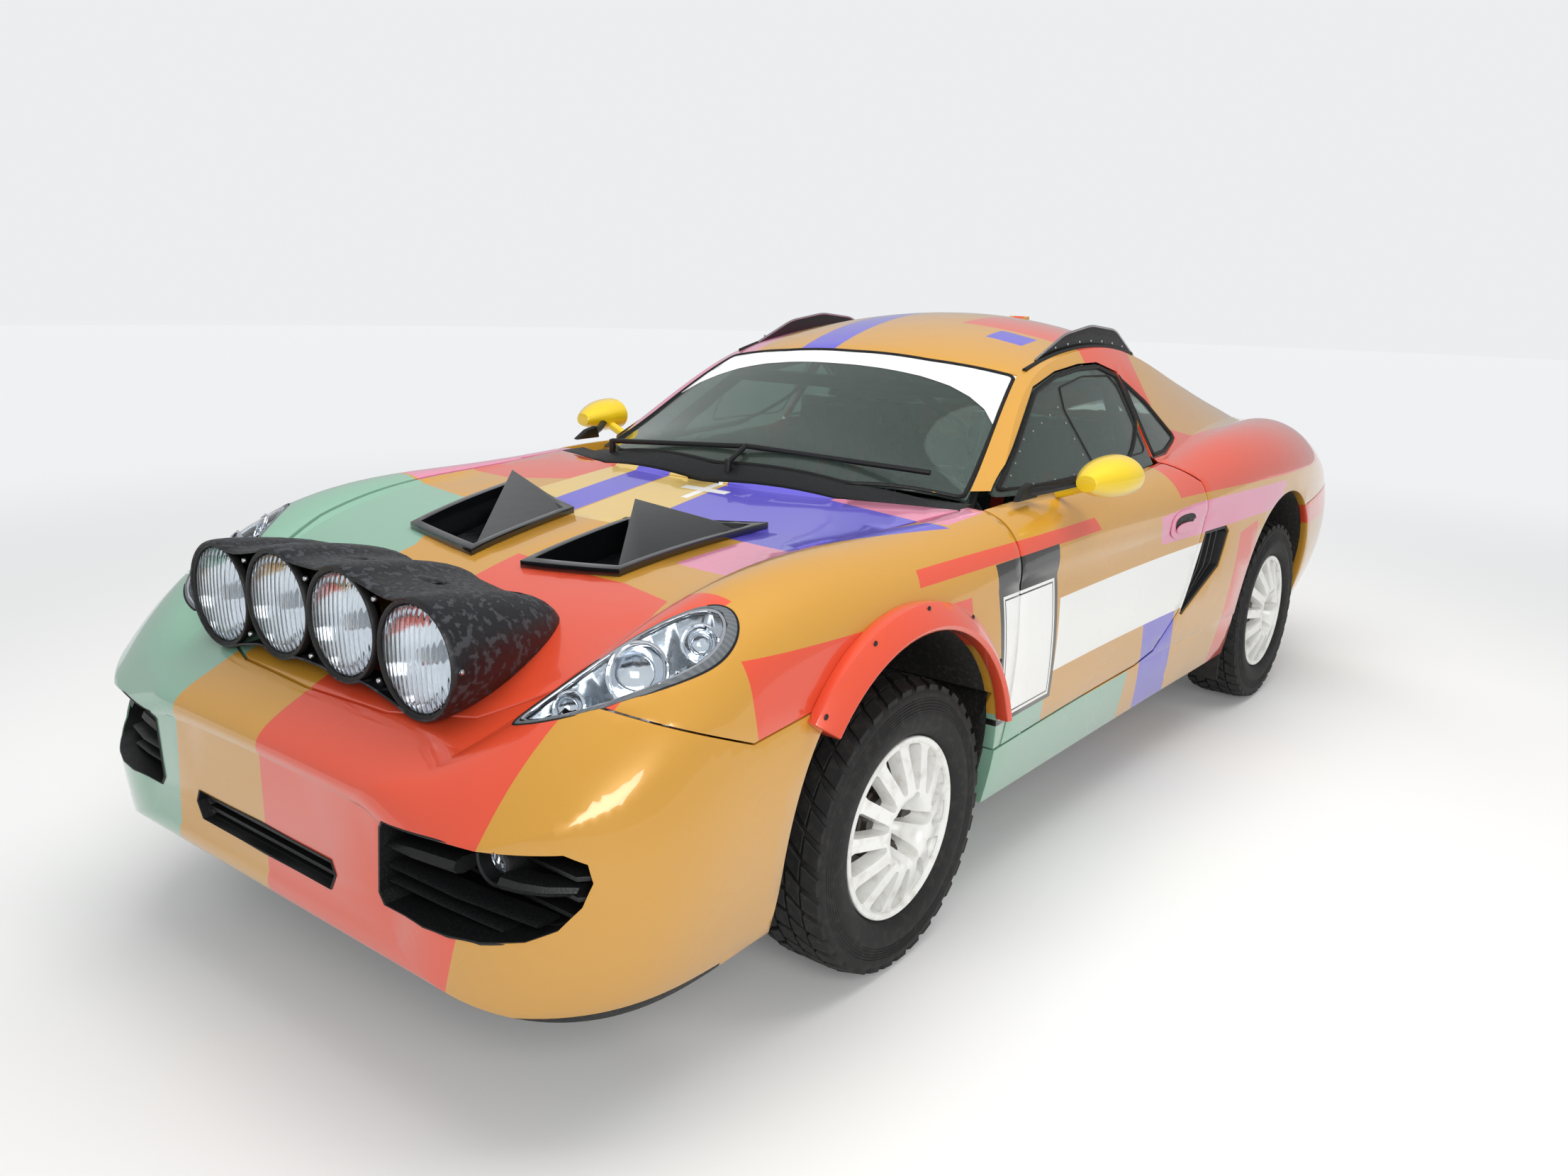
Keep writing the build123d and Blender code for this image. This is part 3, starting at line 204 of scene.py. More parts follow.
roof_blocks = [
    (purple, "top", [(0.4, -0.205), (0.4, -0.075), (-2.2, -0.075), (-2.2, -0.205)]),
    (pink, "top", [(0.9, -0.4), (-2.2, -0.42), (-2.2, -1.0), (0.9, -1.0)]),
    (orange, "top", [(-0.12, 0.16), (-0.55, 0.16), (-0.55, 0.62), (-0.18, 0.62)]),
    (purple, "top", [(-0.02, 0.3), (-0.02, 0.42), (-0.12, 0.42), (-0.12, 0.3)]),
]
tail_blocks = [
    (gold, "front", [(-1.0, 0.0), (1.0, 0.0), (1.0, 0.62), (-1.0, 0.62)]),
    (purple, "front", [(-0.205, 0.0), (-0.075, 0.0), (-0.075, 1.5), (-0.205, 1.5)]),
    (pink, "front", [(-1.0, 0.62), (-0.42, 0.62), (-0.42, 1.5), (-1.0, 1.5)]),
]


def block_mask(tree, spot, view, outline):
    """1 inside a convex outline drawn in one view, 0 outside."""
    level, upright = (axes[letter] for letter in views[view])
    middle = sum((Vector(point) for point in outline), Vector((0, 0))) / len(outline)
    inside = 1.0
    for first, second in zip(outline, outline[1:] + outline[:1]):
        edge = Vector(second) - Vector(first)
        inward = Vector((edge.y, -edge.x))
        if inward.dot(middle - Vector(first)) < 0:
            inward = -inward
        reach = add_node(tree, "VectorMath", {"operation": "DOT_PRODUCT"}, i0=spot,
                         i1=level * inward.x + upright * inward.y).outputs["Value"]
        beyond = add_node(tree, "Math", {"operation": "GREATER_THAN"}, i0=reach,
                          i1=inward.dot(Vector(first))).outputs[0]
        inside = add_node(tree, "Math", {"operation": "MULTIPLY"}, i0=inside, i1=beyond).outputs[0]
    return inside


def paint(name, base, *groups):
    """Clear-coated body paint with straight-edged colour blocks. Each group has its blocks, whether they are on
    both sides of the car, and the axis and least value that they are kept to."""
    material, tree, shader = finish(name, base, Roughness=0.3, Coat_Weight=1.0, Coat_Roughness=0.04, Metallic=0.15)
    spot = place(tree)
    parts = add_node(tree, "SeparateXYZ", Vector=spot).outputs
    beside = add_node(tree, "Math", {"operation": "ABSOLUTE"}, i0=parts["Y"]).outputs[0]
    folded = add_node(tree, "CombineXYZ", X=parts["X"], Y=beside, Z=parts["Z"]).outputs[0]
    colour = add_node(tree, "RGB").outputs[0]
    colour.default_value = linear(base)
    for blocks, fold, axis, least in groups:
        keep = 1.0
        if axis:
            keep = add_node(tree, "Math", {"operation": "GREATER_THAN"}, i0=beside if fold else parts[axis],
                            i1=least).outputs[0]
        for block_colour, view, outline in blocks:
            mask = block_mask(tree, folded if fold else spot, view, outline)
            mask = add_node(tree, "Math", {"operation": "MULTIPLY"}, i0=mask, i1=keep).outputs[0]
            colour = add_node(tree, "Mix", {"data_type": "RGBA"}, Factor=mask, i6=colour,
                              i7=linear(block_colour)).outputs[2]
    # Fine road dust dulls the colour a little, more so near the ground
    dust = figure(tree, (0.3, 2.0))
    low = add_node(tree, "MapRange", Value=parts["Z"], From_Min=0.25, From_Max=0.75, To_Min=0.1,
                   To_Max=0.02).outputs[0]
    amount = add_node(tree, "Math", {"operation": "MULTIPLY"}, i0=dust, i1=low).outputs[0]
    dusty = add_node(tree, "Mix", {"data_type": "RGBA"}, Factor=amount, i6=colour, i7=linear("8C8272"))
    tree.links.new(dusty.outputs[2], shader.inputs["Base Color"])
    vary(tree, shader.inputs["Roughness"], dust, 0.26, 0.33)
    return material


sides = (side_blocks, True, "Y", 0.66)
lid_paint = paint("clear_coated_lid", gold, (lid_blocks, False, "", 0))
wing_paint = paint("clear_coated_wings", gold, sides, (wing_blocks, False, "Z", 0.7))
side_paint = paint("clear_coated_sides", gold, sides, (roof_blocks, False, "Z", 1.0))
nose_paint = paint("clear_coated_nose", gold, (nose_blocks, False, "", 0))
tail_paint = paint("clear_coated_tail", orange, (tail_blocks, False, "", 0))
flare_paint = paint("clear_coated_flares", orange)
mirror_paint = paint("clear_coated_mirrors", "E6C414")


def plain_black(name, colour, rough, spot_size, height):
    """Moulded black plastic or rubber with a fine grain."""
    pattern = (spot_size, 4.0)
    return coat(name, colour, (pattern, height), gloss=(pattern, rough - 0.08, rough + 0.1), Roughness=rough)


# Moulded ABS with a fine spark-eroded grain, dull where road dust sits
moulded_abs = plain_black("moulded_abs", "101112", 0.48, 0.004, 0.0006)
# Gloss gel-coated fibreglass of the vents, with slight waviness
gel_coat = coat("gloss_gel_coat", "0B0C0E", ((0.035, 2.0), 0.0008), Roughness=0.16, Coat_Weight=1.0,
                Coat_Roughness=0.05)
# Worn matt fibreglass of the lamp pod: chalky patches where the finish has rubbed off
wear = (0.016, 6.0)
pod_shell = coat("worn_matt_fibreglass", "15161A", (wear, 0.0005), (wear, "101115", "33363A", 0.53, 0.6),
                 (wear, 0.3, 0.62), Roughness=0.45)
# Vulcanised rubber, faintly brown with dust low in the pattern
tyre_rubber = coat("vulcanised_rubber", "141414", ((0.003, 3.0), 0.0005),
                   ((0.02, 6.0), "121212", "2A2824", 0.5, 0.75), Roughness=0.72)
seal_rubber = plain_black("extruded_rubber", "0C0C0C", 0.55, 0.006, 0.0004)
flap_rubber = plain_black("rubber_sheet", "111110", 0.65, 0.02, 0.0015)
# Cast and powder-coated aluminium: thick smooth white with slight orange peel
white_rim = coat("white_powder_coat", "E6E6E2", ((0.004, 2.0), 0.0003), ((0.03, 5.0), "E8E8E4", "C9C5BC", 0.5, 0.8),
                 Roughness=0.32, Coat_Weight=0.4, Coat_Roughness=0.15)
# Vacuum-metallised bowls behind the lamp glass
chrome_bowl = coat("metallised_bowl", "E4E8EE", ((0.05, 2.0), 0.0015), Metallic=1.0, Roughness=0.08)
# Fluted pressed glass: upright ribs, drawn 14 mm apart so that they show
lamp_glass = coat("fluted_glass", "F4F8FA", (("Y", 22.0, 0.0), 0.0012), Roughness=0.03, Transmission_Weight=1.0,
                  IOR=1.3)
# Clear hard-coated polycarbonate over the headlamps
clear_cover = coat("clear_polycarbonate", "EEF2F4", ((0.08, 1.0), 0.0008), Roughness=0.04, Transmission_Weight=1.0,
                   IOR=1.25)
# Laminated glass, slightly green
tinted_glass = coat("tinted_laminated_glass", "8FA39B", ((0.3, 1.0), 0.0008), Roughness=0.02,
                    Transmission_Weight=0.92, IOR=1.42)
# Cast vinyl of the sun strip: plain white with a satin sheen
white_vinyl = coat("white_vinyl", "E9EAE8", gloss=((0.05, 3.0), 0.28, 0.42), Roughness=0.35)
# Zinc-plated fasteners
plated_steel = coat("zinc_plated_steel", "B9BBBD", gloss=((0.003, 3.0), 0.24, 0.42), Metallic=1.0, Roughness=0.32)
# Bare rolled and cast steel with brown surface dust
dull_steel = coat("cast_steel", "5B5752", ((0.002, 3.0), 0.0004), ((0.012, 6.0), "66625D", "473A2E", 0.48, 0.66),
                  Metallic=0.85, Roughness=0.48)
# Turned brake discs with a slightly uneven face
disc_steel = coat("turned_iron", "8C8B89", ((0.004, 4.0), 0.0002), Metallic=1.0, Roughness=0.3)
# Satin epoxy on the cage, and rough stone guard under the floor
cage_paint = coat("satin_epoxy", "2A2B2D", ((0.006, 3.0), 0.0003), Roughness=0.42)
grit = (0.01, 5.0)
under_paint = coat("stone_guard", "1D1C1B", (grit, 0.002), (grit, "181817", "37322B", 0.5, 0.7), Roughness=0.78)
# Cast aluminium of the power unit
cast_metal = coat("cast_aluminium", "8A8B8C", ((0.004, 4.0), 0.001), Metallic=1.0, Roughness=0.5)
# Knitted seat cloth: a 6 mm rib that catches the light
seat_cloth = coat("knitted_cloth", "17181B", (("DIAGONAL", 60.0, 1.5), 0.0008), Roughness=0.85, Sheen_Weight=0.35)
# Flocked suede of the steering rim
suede = coat("flocked_suede", "18181A", ((0.002, 3.0), 0.0004), Roughness=0.92, Sheen_Weight=0.5)
# Glossy gel coat of the seat shells
seat_gel = plain_black("seat_gel_coat", "141416", 0.3, 0.05, 0.0006)
# Woven belts with a rib every 2.6 mm
webbing = coat("woven_webbing", "B5281E", (("Z", 120.0, 0.0), 0.0005), Roughness=0.8)
# Red lenses of the tail lamps, with level ribs 12 mm apart
red_lens = coat("moulded_red_lens", "8E0F12", (("Z", 26.0, 0.0), 0.001), Roughness=0.08, Transmission_Weight=0.35,
                Coat_Weight=1.0)
# Fine-ribbed grey surround of the headlamps: ribs 4 mm apart read as a satin grey. The colour follows the ribs:
# painted shade darkens the grooves and painted highlight lightens the crests
fine_ribs = ("DIAGONAL", 90.0, 0.0)
grey_mesh = coat("ribbed_grey_plastic", "5C6266", (fine_ribs, 0.0002), (fine_ribs, "54595D", "62676B", 0.2, 0.8),
                 Roughness=0.42)
# Satin metallised plastic inside the headlamps
ripple = (0.02, 3.0)
bright_tray = coat("satin_metallised_plastic", "C3CAD2", (ripple, 0.001), gloss=(ripple, 0.2, 0.36), Metallic=0.85,
                   Roughness=0.28)


# Modelling steps
def edit(selection=None):
    """Goes to edit mode, on vertices, with all or none of them selected where that is asked for."""
    bpy.ops.object.mode_set(mode="EDIT")
    bpy.ops.mesh.select_mode(type="VERT")
    if selection:
        bpy.ops.mesh.select_all(action=selection)


def leave():
    bpy.ops.object.mode_set(mode="OBJECT")


def nothing_selected():
    bpy.ops.object.select_all(action="DESELECT")


def pick(piece):
    """Selects one piece alone."""
    nothing_selected()
    bpy.context.view_layer.objects.active = piece
    piece.select_set(True)


def smooth(piece, angle):
    """Smooths the edges of a piece that are under an angle."""
    pick(piece)
    bpy.ops.object.shade_smooth_by_angle(angle=radians(angle))


def tidy(piece, smooth_angle=35):
    """Merges doubles, turns faces outwards and smooths what is under an angle."""
    pick(piece)
    bpy.ops.object.transform_apply(location=True, rotation=True, scale=True)
    edit("SELECT")
    bpy.ops.mesh.remove_doubles(threshold=0.00002)
    bpy.ops.mesh.normals_make_consistent(inside=False)
    leave()
    smooth(piece, smooth_angle)


def modify(piece, kind, **settings):
    """Adds a modifier with its settings and applies it."""
    modifier = piece.modifiers.new(kind.title(), kind)
    for key, value in settings.items():
        setattr(modifier, key, value)
    pick(piece)
    bpy.ops.object.modifier_apply(modifier=modifier.name)
    return piece


def bevel(piece, width, segments=2, angle=40):
    """Rounds the sharp edges of a piece."""
    modify(piece, "BEVEL", width=width, segments=segments, limit_method="ANGLE", angle_limit=radians(angle),
           use_clamp_overlap=True)


def subdivide(piece):
    modify(piece, "SUBSURF", levels=1, render_levels=1)


def solidify(piece, thickness, offset=-1.0):
    return modify(piece, "SOLIDIFY", thickness=thickness, offset=offset)


def cut(piece, cutter, how="DIFFERENCE"):
    """Cuts a piece by another, which is then removed."""
    modify(piece, "BOOLEAN", operation=how, object=cutter, solver="EXACT")
    bpy.data.objects.remove(cutter)


def finish_piece(piece, name, material, body, slot, *replaced):
    """Names a piece, gives it a finish and a body to ride on, and says what it replaces."""
    piece.name = name
    piece.data.name = name
    piece.data.materials.clear()
    piece.data.materials.append(material)
    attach(piece, body)
    if replaced:
        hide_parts(*replaced)
    return piece


def draw_line(points, closed=False):
    """Draws a line of edges by extruding a vertex from point to point, and stays in edit mode."""
    nothing_selected()
    bpy.ops.mesh.primitive_plane_add(size=0.001, location=points[0])
    edit("SELECT")
    bpy.ops.mesh.merge(type="CENTER")
    for before, after in zip(points, points[1:]):
        step = Vector(after) - Vector(before)
        bpy.ops.mesh.extrude_region_move(TRANSFORM_OT_translate={"value": step})
    bpy.ops.mesh.select_all(action="SELECT")
    if closed:
        bpy.ops.mesh.edge_face_add()


def lathe(profile, steps, axis="X", centre=(0, 0, 0)):
    """Turned piece: (along, radius) points spun about an axis through centre."""
    lift = axes["x" if axis == "Z" else "z"]
    along_axis = axes[axis.lower()]
    centre = Vector(centre)
    draw_line([centre + along_axis * a + lift * r for a, r in profile])
    bpy.ops.mesh.spin(steps=steps, angle=2 * pi, center=centre, axis=along_axis)
    leave()
    piece = bpy.context.object
    tidy(piece)
    return piece


def plate(outline, depth):
    """Flat piece: an outline of points, pulled out by a depth vector."""
    draw_line(outline, closed=True)
    bpy.ops.mesh.select_all(action="SELECT")
    bpy.ops.mesh.extrude_region_move(TRANSFORM_OT_translate={"value": Vector(depth)})
    leave()
    piece = bpy.context.object
    tidy(piece)
    return piece


def bar(points, radius, cyclic=True, round_steps=2):
    """Round bar or bead that follows points."""
    nothing_selected()
    bpy.ops.curve.primitive_nurbs_path_add()
    piece = bpy.context.object
    line = piece.data
    line.splines.clear()
    spline = line.splines.new("NURBS")
    spline.points.add(len(points) - 1)
    for knot, point in zip(spline.points, points):
        knot.co = (*point, 1.0)
    spline.use_cyclic_u = cyclic
    spline.order_u = 3
    spline.use_endpoint_u = not cyclic
    spline.resolution_u = 6
    line.dimensions = "3D"
    line.bevel_depth = radius
    line.bevel_resolution = round_steps
    line.use_fill_caps = not cyclic
    pick(piece)
    bpy.ops.object.convert(target="MESH")
    piece = bpy.context.object
    tidy(piece)
    return piece


def block(low, high, width):
    """Block between two corners, with its edges rounded."""
    nothing_selected()
    low, high = Vector(low), Vector(high)
    bpy.ops.mesh.primitive_cube_add(size=1, location=(low + high) / 2, scale=high - low)
    piece = bpy.context.object
    tidy(piece)
    bevel(piece, width, 3)
    return piece


def join(pieces):
    """Makes one piece of several."""
    nothing_selected()
    for piece in pieces:
        piece.select_set(True)
    bpy.context.view_layer.objects.active = pieces[0]
    if len(pieces) > 1:
        bpy.ops.object.join()
    return bpy.context.object


def copy_of(piece, move=None):
    """A copy with its own mesh, moved by a matrix."""
    twin = piece.copy()
    twin.data = piece.data.copy()
    bpy.context.scene.collection.objects.link(twin)
    if move is not None:
        twin.data.transform(move)
        if move.determinant() < 0:
            twin.data.flip_normals()
    return twin


def both_sides(*pieces):
    """Pieces of the left, joined with their twins on the right."""
    piece = join(pieces)
    return join([piece, copy_of(piece, across)])


def both_doors(piece, name, material, slot_name):
    """A piece of the left door, and its twin on the right door."""
    finish_piece(copy_of(piece, across), f"{name}_right", material, "door_right", slot_name)
    finish_piece(piece, f"{name}_left", material, "door_left", slot_name)


def cad_copy(node):
    """A merged copy of a frame node's mesh, ready to be dressed."""
    piece = nodes[node].copy()
    piece.data = nodes[node].data.copy()
    piece.parent = None
    for key in list(piece.keys()):
        del piece[key]
    bpy.context.scene.collection.objects.link(piece)
    piece.hide_viewport = piece.hide_render = False
    piece.hide_set(False)
    pick(piece)
    edit("SELECT")
    bpy.ops.mesh.customdata_custom_splitnormals_clear()
    bpy.ops.mesh.remove_doubles(threshold=0.00005)
    leave()
    return piece


def shift(piece, test, move):
    """Moves the vertices of a piece that pass a test."""
    pick(piece)
    edit("DESELECT")
    leave()
    for vertex in piece.data.vertices:
        vertex.select = test(vertex.co)
    edit()
    bpy.ops.transform.translate(value=move)
    leave()


def keep_faces(piece, test):
    """Deletes the faces of a piece whose normal and middle fail a test."""
    pick(piece)
    edit()
    bpy.ops.mesh.select_mode(type="FACE")
    bpy.ops.mesh.select_all(action="DESELECT")
    leave()
    for polygon in piece.data.polygons:
        polygon.select = not test(polygon.normal, polygon.center)
    edit()
    bpy.ops.mesh.delete(type="FACE")
    leave()
    return piece


def skin(rings, closed=True, caps=False):
    """A sheet over rows of points: neighbouring rows are joined by faces."""
    mesh = bmesh.new()
    rows = [[mesh.verts.new(point) for point in ring] for ring in rings]
    count = len(rows[0])
    for first, second in zip(rows, rows[1:]):
        for k in range(count if closed else count - 1):
            n = (k + 1) % count
            mesh.faces.new((first[k], first[n], second[n], second[k]))
    if caps:
        mesh.faces.new(rows[0])
        mesh.faces.new(list(reversed(rows[-1])))
    data = bpy.data.meshes.new("skin")
    mesh.to_mesh(data)
    mesh.free()
    piece = bpy.data.objects.new("skin", data)
    bpy.context.scene.collection.objects.link(piece)
    tidy(piece)
    return piece


surfaces = {}


def hit(origin, direction, names):
    """Where a ray meets the CAD nodes that are named, or None."""
    if names not in surfaces:
        points, faces = [], []
        for name in names.split():
            mesh = nodes[name].data
            faces += [[v + len(points) for v in face.vertices] for face in mesh.polygons]
            points += [v.co.copy() for v in mesh.vertices]
        surfaces[names] = BVHTree.FromPolygons(points, faces)
    return surfaces[names].ray_cast(Vector(origin), Vector(direction))[0]


# Each node's body and material slot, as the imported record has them
body_of = {node: body for body, group in frame["record"]["behaviour"]["bodies"].items() for node in group}
slot_of = {part["node"]: part["material_slot"] for part in frame["record"]["subparts"]}
# Pieces that keep the frame's shape, with rounded edges: nodes, finish, edge radius and smoothing angle
for names, material, width, angle in [
    ("body_shell", side_paint, 0.0012, 24), ("door_left door_right sills", side_paint, 0.0015, 24),
    ("front_fenders", wing_paint, 0.0015, 24), ("bonnet", lid_paint, 0.0015, 24),
    ("front_bumper", nose_paint, 0.002, 24), ("rear_bumper", tail_paint, 0.002, 24),
    ("hatch", tail_paint, 0.0015, 24), ("arch_flares", flare_paint, 0.002, 35),
    ("floor_pan", under_paint, 0.0, 30), ("roll_cage", cage_paint, 0.0, 40),
    ("cowl_panel front_lip roof_fences", moulded_abs, 0.0015, 30), ("intake_grilles", moulded_abs, 0.0012, 30),
    ("dashboard", moulded_abs, 0.004, 30), ("wipers", moulded_abs, 0.001, 30),
    ("tail_lamps", red_lens, 0.0015, 30),
    ("windshield quarter_glass hatch_glass door_glass_left door_glass_right", tinted_glass, 0.0, 30),
    ("front_suspension rear_suspension knuckle_front_left knuckle_front_right exhaust", dull_steel, 0.0015, 40),
    ("steering_column", dull_steel, 0.0, 40), ("engine_block", cast_metal, 0.004, 40),
    ("seat_shells", seat_gel, 0.003, 40), ("mud_flaps", flap_rubber, 0.0015, 30),
    ("bonnet_ducts", gel_coat, 0.002, 30), ("mirror_left mirror_right", mirror_paint, 0.006, 40),
]:
    for node in names.split():
        piece = cad_copy(node)
        if width:
            bevel(piece, width, 2, angle)
        smooth(piece, angle)
        finish_piece(piece, f"dressed_{node}", material, body_of[node], slot_of[node], node)


def turned(angle, axis="Y"):
    return Matrix.Rotation(radians(angle), 4, axis)


def around(piece, count, start=0.0, axis="Y"):
    """A joined ring of copies of a piece turned about an axis through the origin; the piece is used up."""
    ring = [copy_of(piece, turned(start + step * 360 / count, axis)) for step in range(count)]
    bpy.data.objects.remove(piece)
    return join(ring)


def at_wheels(piece, name, material, carrier, slot_name, *replaced):
    """Copies a piece that was made about the origin to the four wheel centres, and takes it away."""
    for corner, centre in wheel_centres.items():
        move = Matrix.Translation(centre) @ (across if "right" in corner else Matrix.Identity(4))
        twin = copy_of(piece, move)
        finish_piece(twin, f"{name}_{corner}", material, carrier.format(corner), slot_name,
                     *[node.format(corner) for node in replaced])
    bpy.data.objects.remove(piece)


# Wheels, made about the origin with the outside towards +Y: (along, radius) outlines in metres
spoke_count = 13
barrel_line = [(-0.088, 0.2036), (-0.088, 0.197), (-0.078, 0.188), (-0.062, 0.1765), (0.06, 0.1765), (0.072, 0.184),
               (0.082, 0.188), (0.087, 0.19), (0.089, 0.193), (0.089, 0.2015), (0.087, 0.2038), (0.08, 0.2036),
               (0.078, 0.1925), (0.066, 0.191), (0.062, 0.182), (-0.062, 0.182), (-0.066, 0.192), (-0.08, 0.192),
               (-0.08, 0.2036), (-0.088, 0.2036)]
face_line = [(0.028, 0.0), (0.03, 0.034), (0.037, 0.043), (0.06, 0.053), (0.0915, 0.064), (0.101, 0.069),
             (0.107, 0.075), (0.1095, 0.083), (0.108, 0.096), (0.102, 0.122), (0.094, 0.148), (0.086, 0.174),
             (0.083, 0.1885), (0.046, 0.1885), (0.052, 0.16), (0.064, 0.13), (0.072, 0.1), (0.066, 0.082),
             (0.04, 0.064), (0.016, 0.05), (0.014, 0.0)]
window = [(0.0885, 0.0), (0.09, 0.0055), (0.0945, 0.0092), (0.104, 0.0118), (0.13, 0.0182), (0.16, 0.0257),
          (0.174, 0.029), (0.182, 0.0282), (0.1862, 0.0215), (0.1875, 0.0)]
barrel = lathe(barrel_line, 96, "Y")
face = lathe(face_line, 96, "Y")
sides_of_window = window + [(r, -t) for r, t in reversed(window[1:-1])]
cutter = plate([(r, 0.125, t) for r, t in sides_of_window], (0, -0.115, 0))
# The windows narrow towards the inside of the wheel
for test, move in ((lambda v: v.x < 0.1, (0.01, 0, 0)), (lambda v: v.z > 0.008, (0, 0, -0.006)),
                   (lambda v: v.z < -0.008, (0, 0, 0.006))):
    shift(cutter, lambda v: v.y < 0.05 and test(v), move)
cut(face, around(cutter, spoke_count, 7.0))
nut_well = plate([(0.068 + 0.022 * cos(a), 0.13, 0.0165 * sin(a)) for a in [radians(20 * k) for k in range(18)]],
                 (-0.02, -0.12, 0))
nut_count, first_nut = 5, 3.0
cut(face, around(nut_well, nut_count, first_nut + 180))
bevel(face, 0.0035, 3, 38)
hub_seat = lathe([(0.0, 0.03), (0.0, 0.088), (0.03, 0.088), (0.034, 0.084), (0.036, 0.03), (0.0, 0.03)], 48, "Y")
nut = lathe([(0.036, 0.0), (0.036, 0.01), (0.052, 0.01), (0.053, 0.006), (0.056, 0.0)], 6, "Y", (-0.062, 0, 0))
nuts = around(nut, nut_count, first_nut)
rim = join([barrel, face])
tidy(rim, 34)
at_wheels(rim, "rim", white_rim, "wheel_{}", "white_rim", "wheel_{}")
at_wheels(join([hub_seat, nuts]), "hub_seat", dull_steel, "wheel_{}", "steel")
disc = lathe([(-0.06, 0.084), (-0.06, 0.148), (-0.058, 0.15), (-0.05, 0.15), (-0.05, 0.1), (-0.044, 0.1),
              (-0.044, 0.15), (-0.036, 0.15), (-0.034, 0.148), (-0.034, 0.086), (-0.008, 0.084), (-0.006, 0.03),
              (-0.012, 0.03), (-0.014, 0.076), (-0.06, 0.084)], 72, "Y")
at_wheels(disc, "brake_disc", disc_steel, "wheel_{}", "steel")

# Tyres: smooth wall, five fine rings near the shoulder, and five columns of blocks
wall = [(0.0804, 0.1925), (0.0804, 0.204), (0.0835, 0.2075), (0.092, 0.213), (0.0985, 0.225), (0.1015, 0.242),
        (0.1025, 0.257)]
for ring in range(5):
    r = 0.2615 + 0.0062 * ring
    y = 0.1022 - 0.0008 * ring
    wall += [(y - 0.0016, r), (y, r + 0.001), (y, r + 0.0034), (y - 0.0016, r + 0.0044)]
wall += [(0.0975, 0.2945), (0.096, 0.304), (0.09, 0.311), (0.078, 0.3165), (0.0, 0.3185)]
carcass_line = wall + [(-a, r) for a, r in reversed(wall[:-1])] + \
    [(-0.07, 0.208), (-0.09, 0.25), (-0.08, 0.3), (0.08, 0.3), (0.09, 0.25), (0.07, 0.208), wall[0]]
tyre = lathe(carcass_line, 108, "Y")
row_count = 36
# Column of blocks: centre, half width, half length, slant, turn of the column, drop at the outer edge
columns = [(0.0, 0.0165, 0.0235, 0.006, 0.0, 0.0), (0.0385, 0.0165, 0.024, 0.012, 5.0, 0.0),
           (-0.0385, 0.0165, 0.024, -0.012, 5.0, 0.0), (0.0765, 0.0175, 0.0225, 0.01, 0.5, 0.0085),
           (-0.0765, 0.0175, 0.0225, -0.01, 0.5, 0.0085)]
lug_top, lug_height, tip_from, shoulder_from = 0.3265, 0.0165, 0.314, 0.085
treads = []
for middle, half, length, slant, turn, drop in columns:
    lug = plate([(way * length + end * slant, middle + end * half, lug_top)
                 for way, end in ((-1, -1), (1, -1), (1, 1), (-1, 1))], (0, 0, -lug_height))
    if drop:
        outer = 1 if middle > 0 else -1
        shift(lug, lambda v: v.y * outer > shoulder_from, (0, 0, -drop))
        shift(lug, lambda v: v.y * outer > shoulder_from and v.x * outer * slant < 0, (0.006, 0, 0))
    shift(lug, lambda v: v.z > tip_from and v.x > 0, (-0.0018, 0, 0))
    shift(lug, lambda v: v.z > tip_from and v.x < 0, (0.0018, 0, 0))
    bevel(lug, 0.0013, 1)
    treads.append(around(lug, row_count, turn))
tread = join([tyre] + treads)
smooth(tread, 32)
at_wheels(tread, "gravel_tyre", tyre_rubber, "wheel_{}", "tyre", "tyre_{}")

# Lamp pod: one moulded hood over four lamps, with a wavy front rim and lobes that run back to the lid
pod_row = [Vector((2.039, 0.335, 0.806)), Vector((2.041, 0.11, 0.827)), Vector((2.041, -0.11, 0.827)),
           Vector((2.039, -0.335, 0.806))]


def hood_ring(back, radius, rise, spread, flat, steps=10):
    """Closed wavy line around the four lamps, back from their fronts; flat fills the valleys."""
    ring = []
    for turn, row in ((1, pod_row), (-1, list(reversed(pod_row)))):
        for number, centre in enumerate(row):
            start = 0 if number == 0 else 50
            stop = 180 if number == 3 else 130
            for step in range(steps):
                angle = radians(start + (stop - start) * (step + 0.5) / steps)
                height = radius * sin(angle)
                if start and angle < pi / 2 or stop < 180 and angle > pi / 2:
                    height = max(height, radius * flat)
                ring.append(Vector((centre.x - back, centre.y * spread + turn * radius * cos(angle),
                                    centre.z + rise + turn * height)))
    return ring


stations = [(-0.006, 0.1125, 0.0, 1.0, 0.86), (-0.002, 0.1165, 0.0, 1.0, 0.86), (0.03, 0.1165, 0.0, 1.0, 0.85),
            (0.1, 0.108, 0.0, 0.995, 0.84), (0.18, 0.095, -0.001, 0.985, 0.8),
            (0.25, 0.079, -0.003, 0.975, 0.72), (0.3, 0.06, -0.008, 0.97, 0.6),
            (0.325, 0.038, -0.012, 0.97, 0.5), (0.334, 0.012, -0.016, 0.97, 0.4)]
pod = skin([hood_ring(*station) for station in stations])
subdivide(pod)
pick(pod)
edit("SELECT")
bpy.ops.mesh.bisect(plane_co=(0, 0, 0.6), plane_no=(0, 0, -1), clear_outer=True)
leave()
solidify(pod, 0.004)
tidy(pod, 50)
vent_holes = [plate([(x + 0.016 * cos(radians(a)), y + 0.007 * sin(radians(a)), z + 0.03)
                     for a in range(0, 360, 30)], (0, 0, -0.08))
              for x, y, z in ((1.9, 0.225, 0.92), (1.9, 0.0, 0.93), (1.9, -0.225, 0.92), (1.8, 0.335, 0.9),
                              (1.8, -0.335, 0.9))]
cut(pod, join(vent_holes))
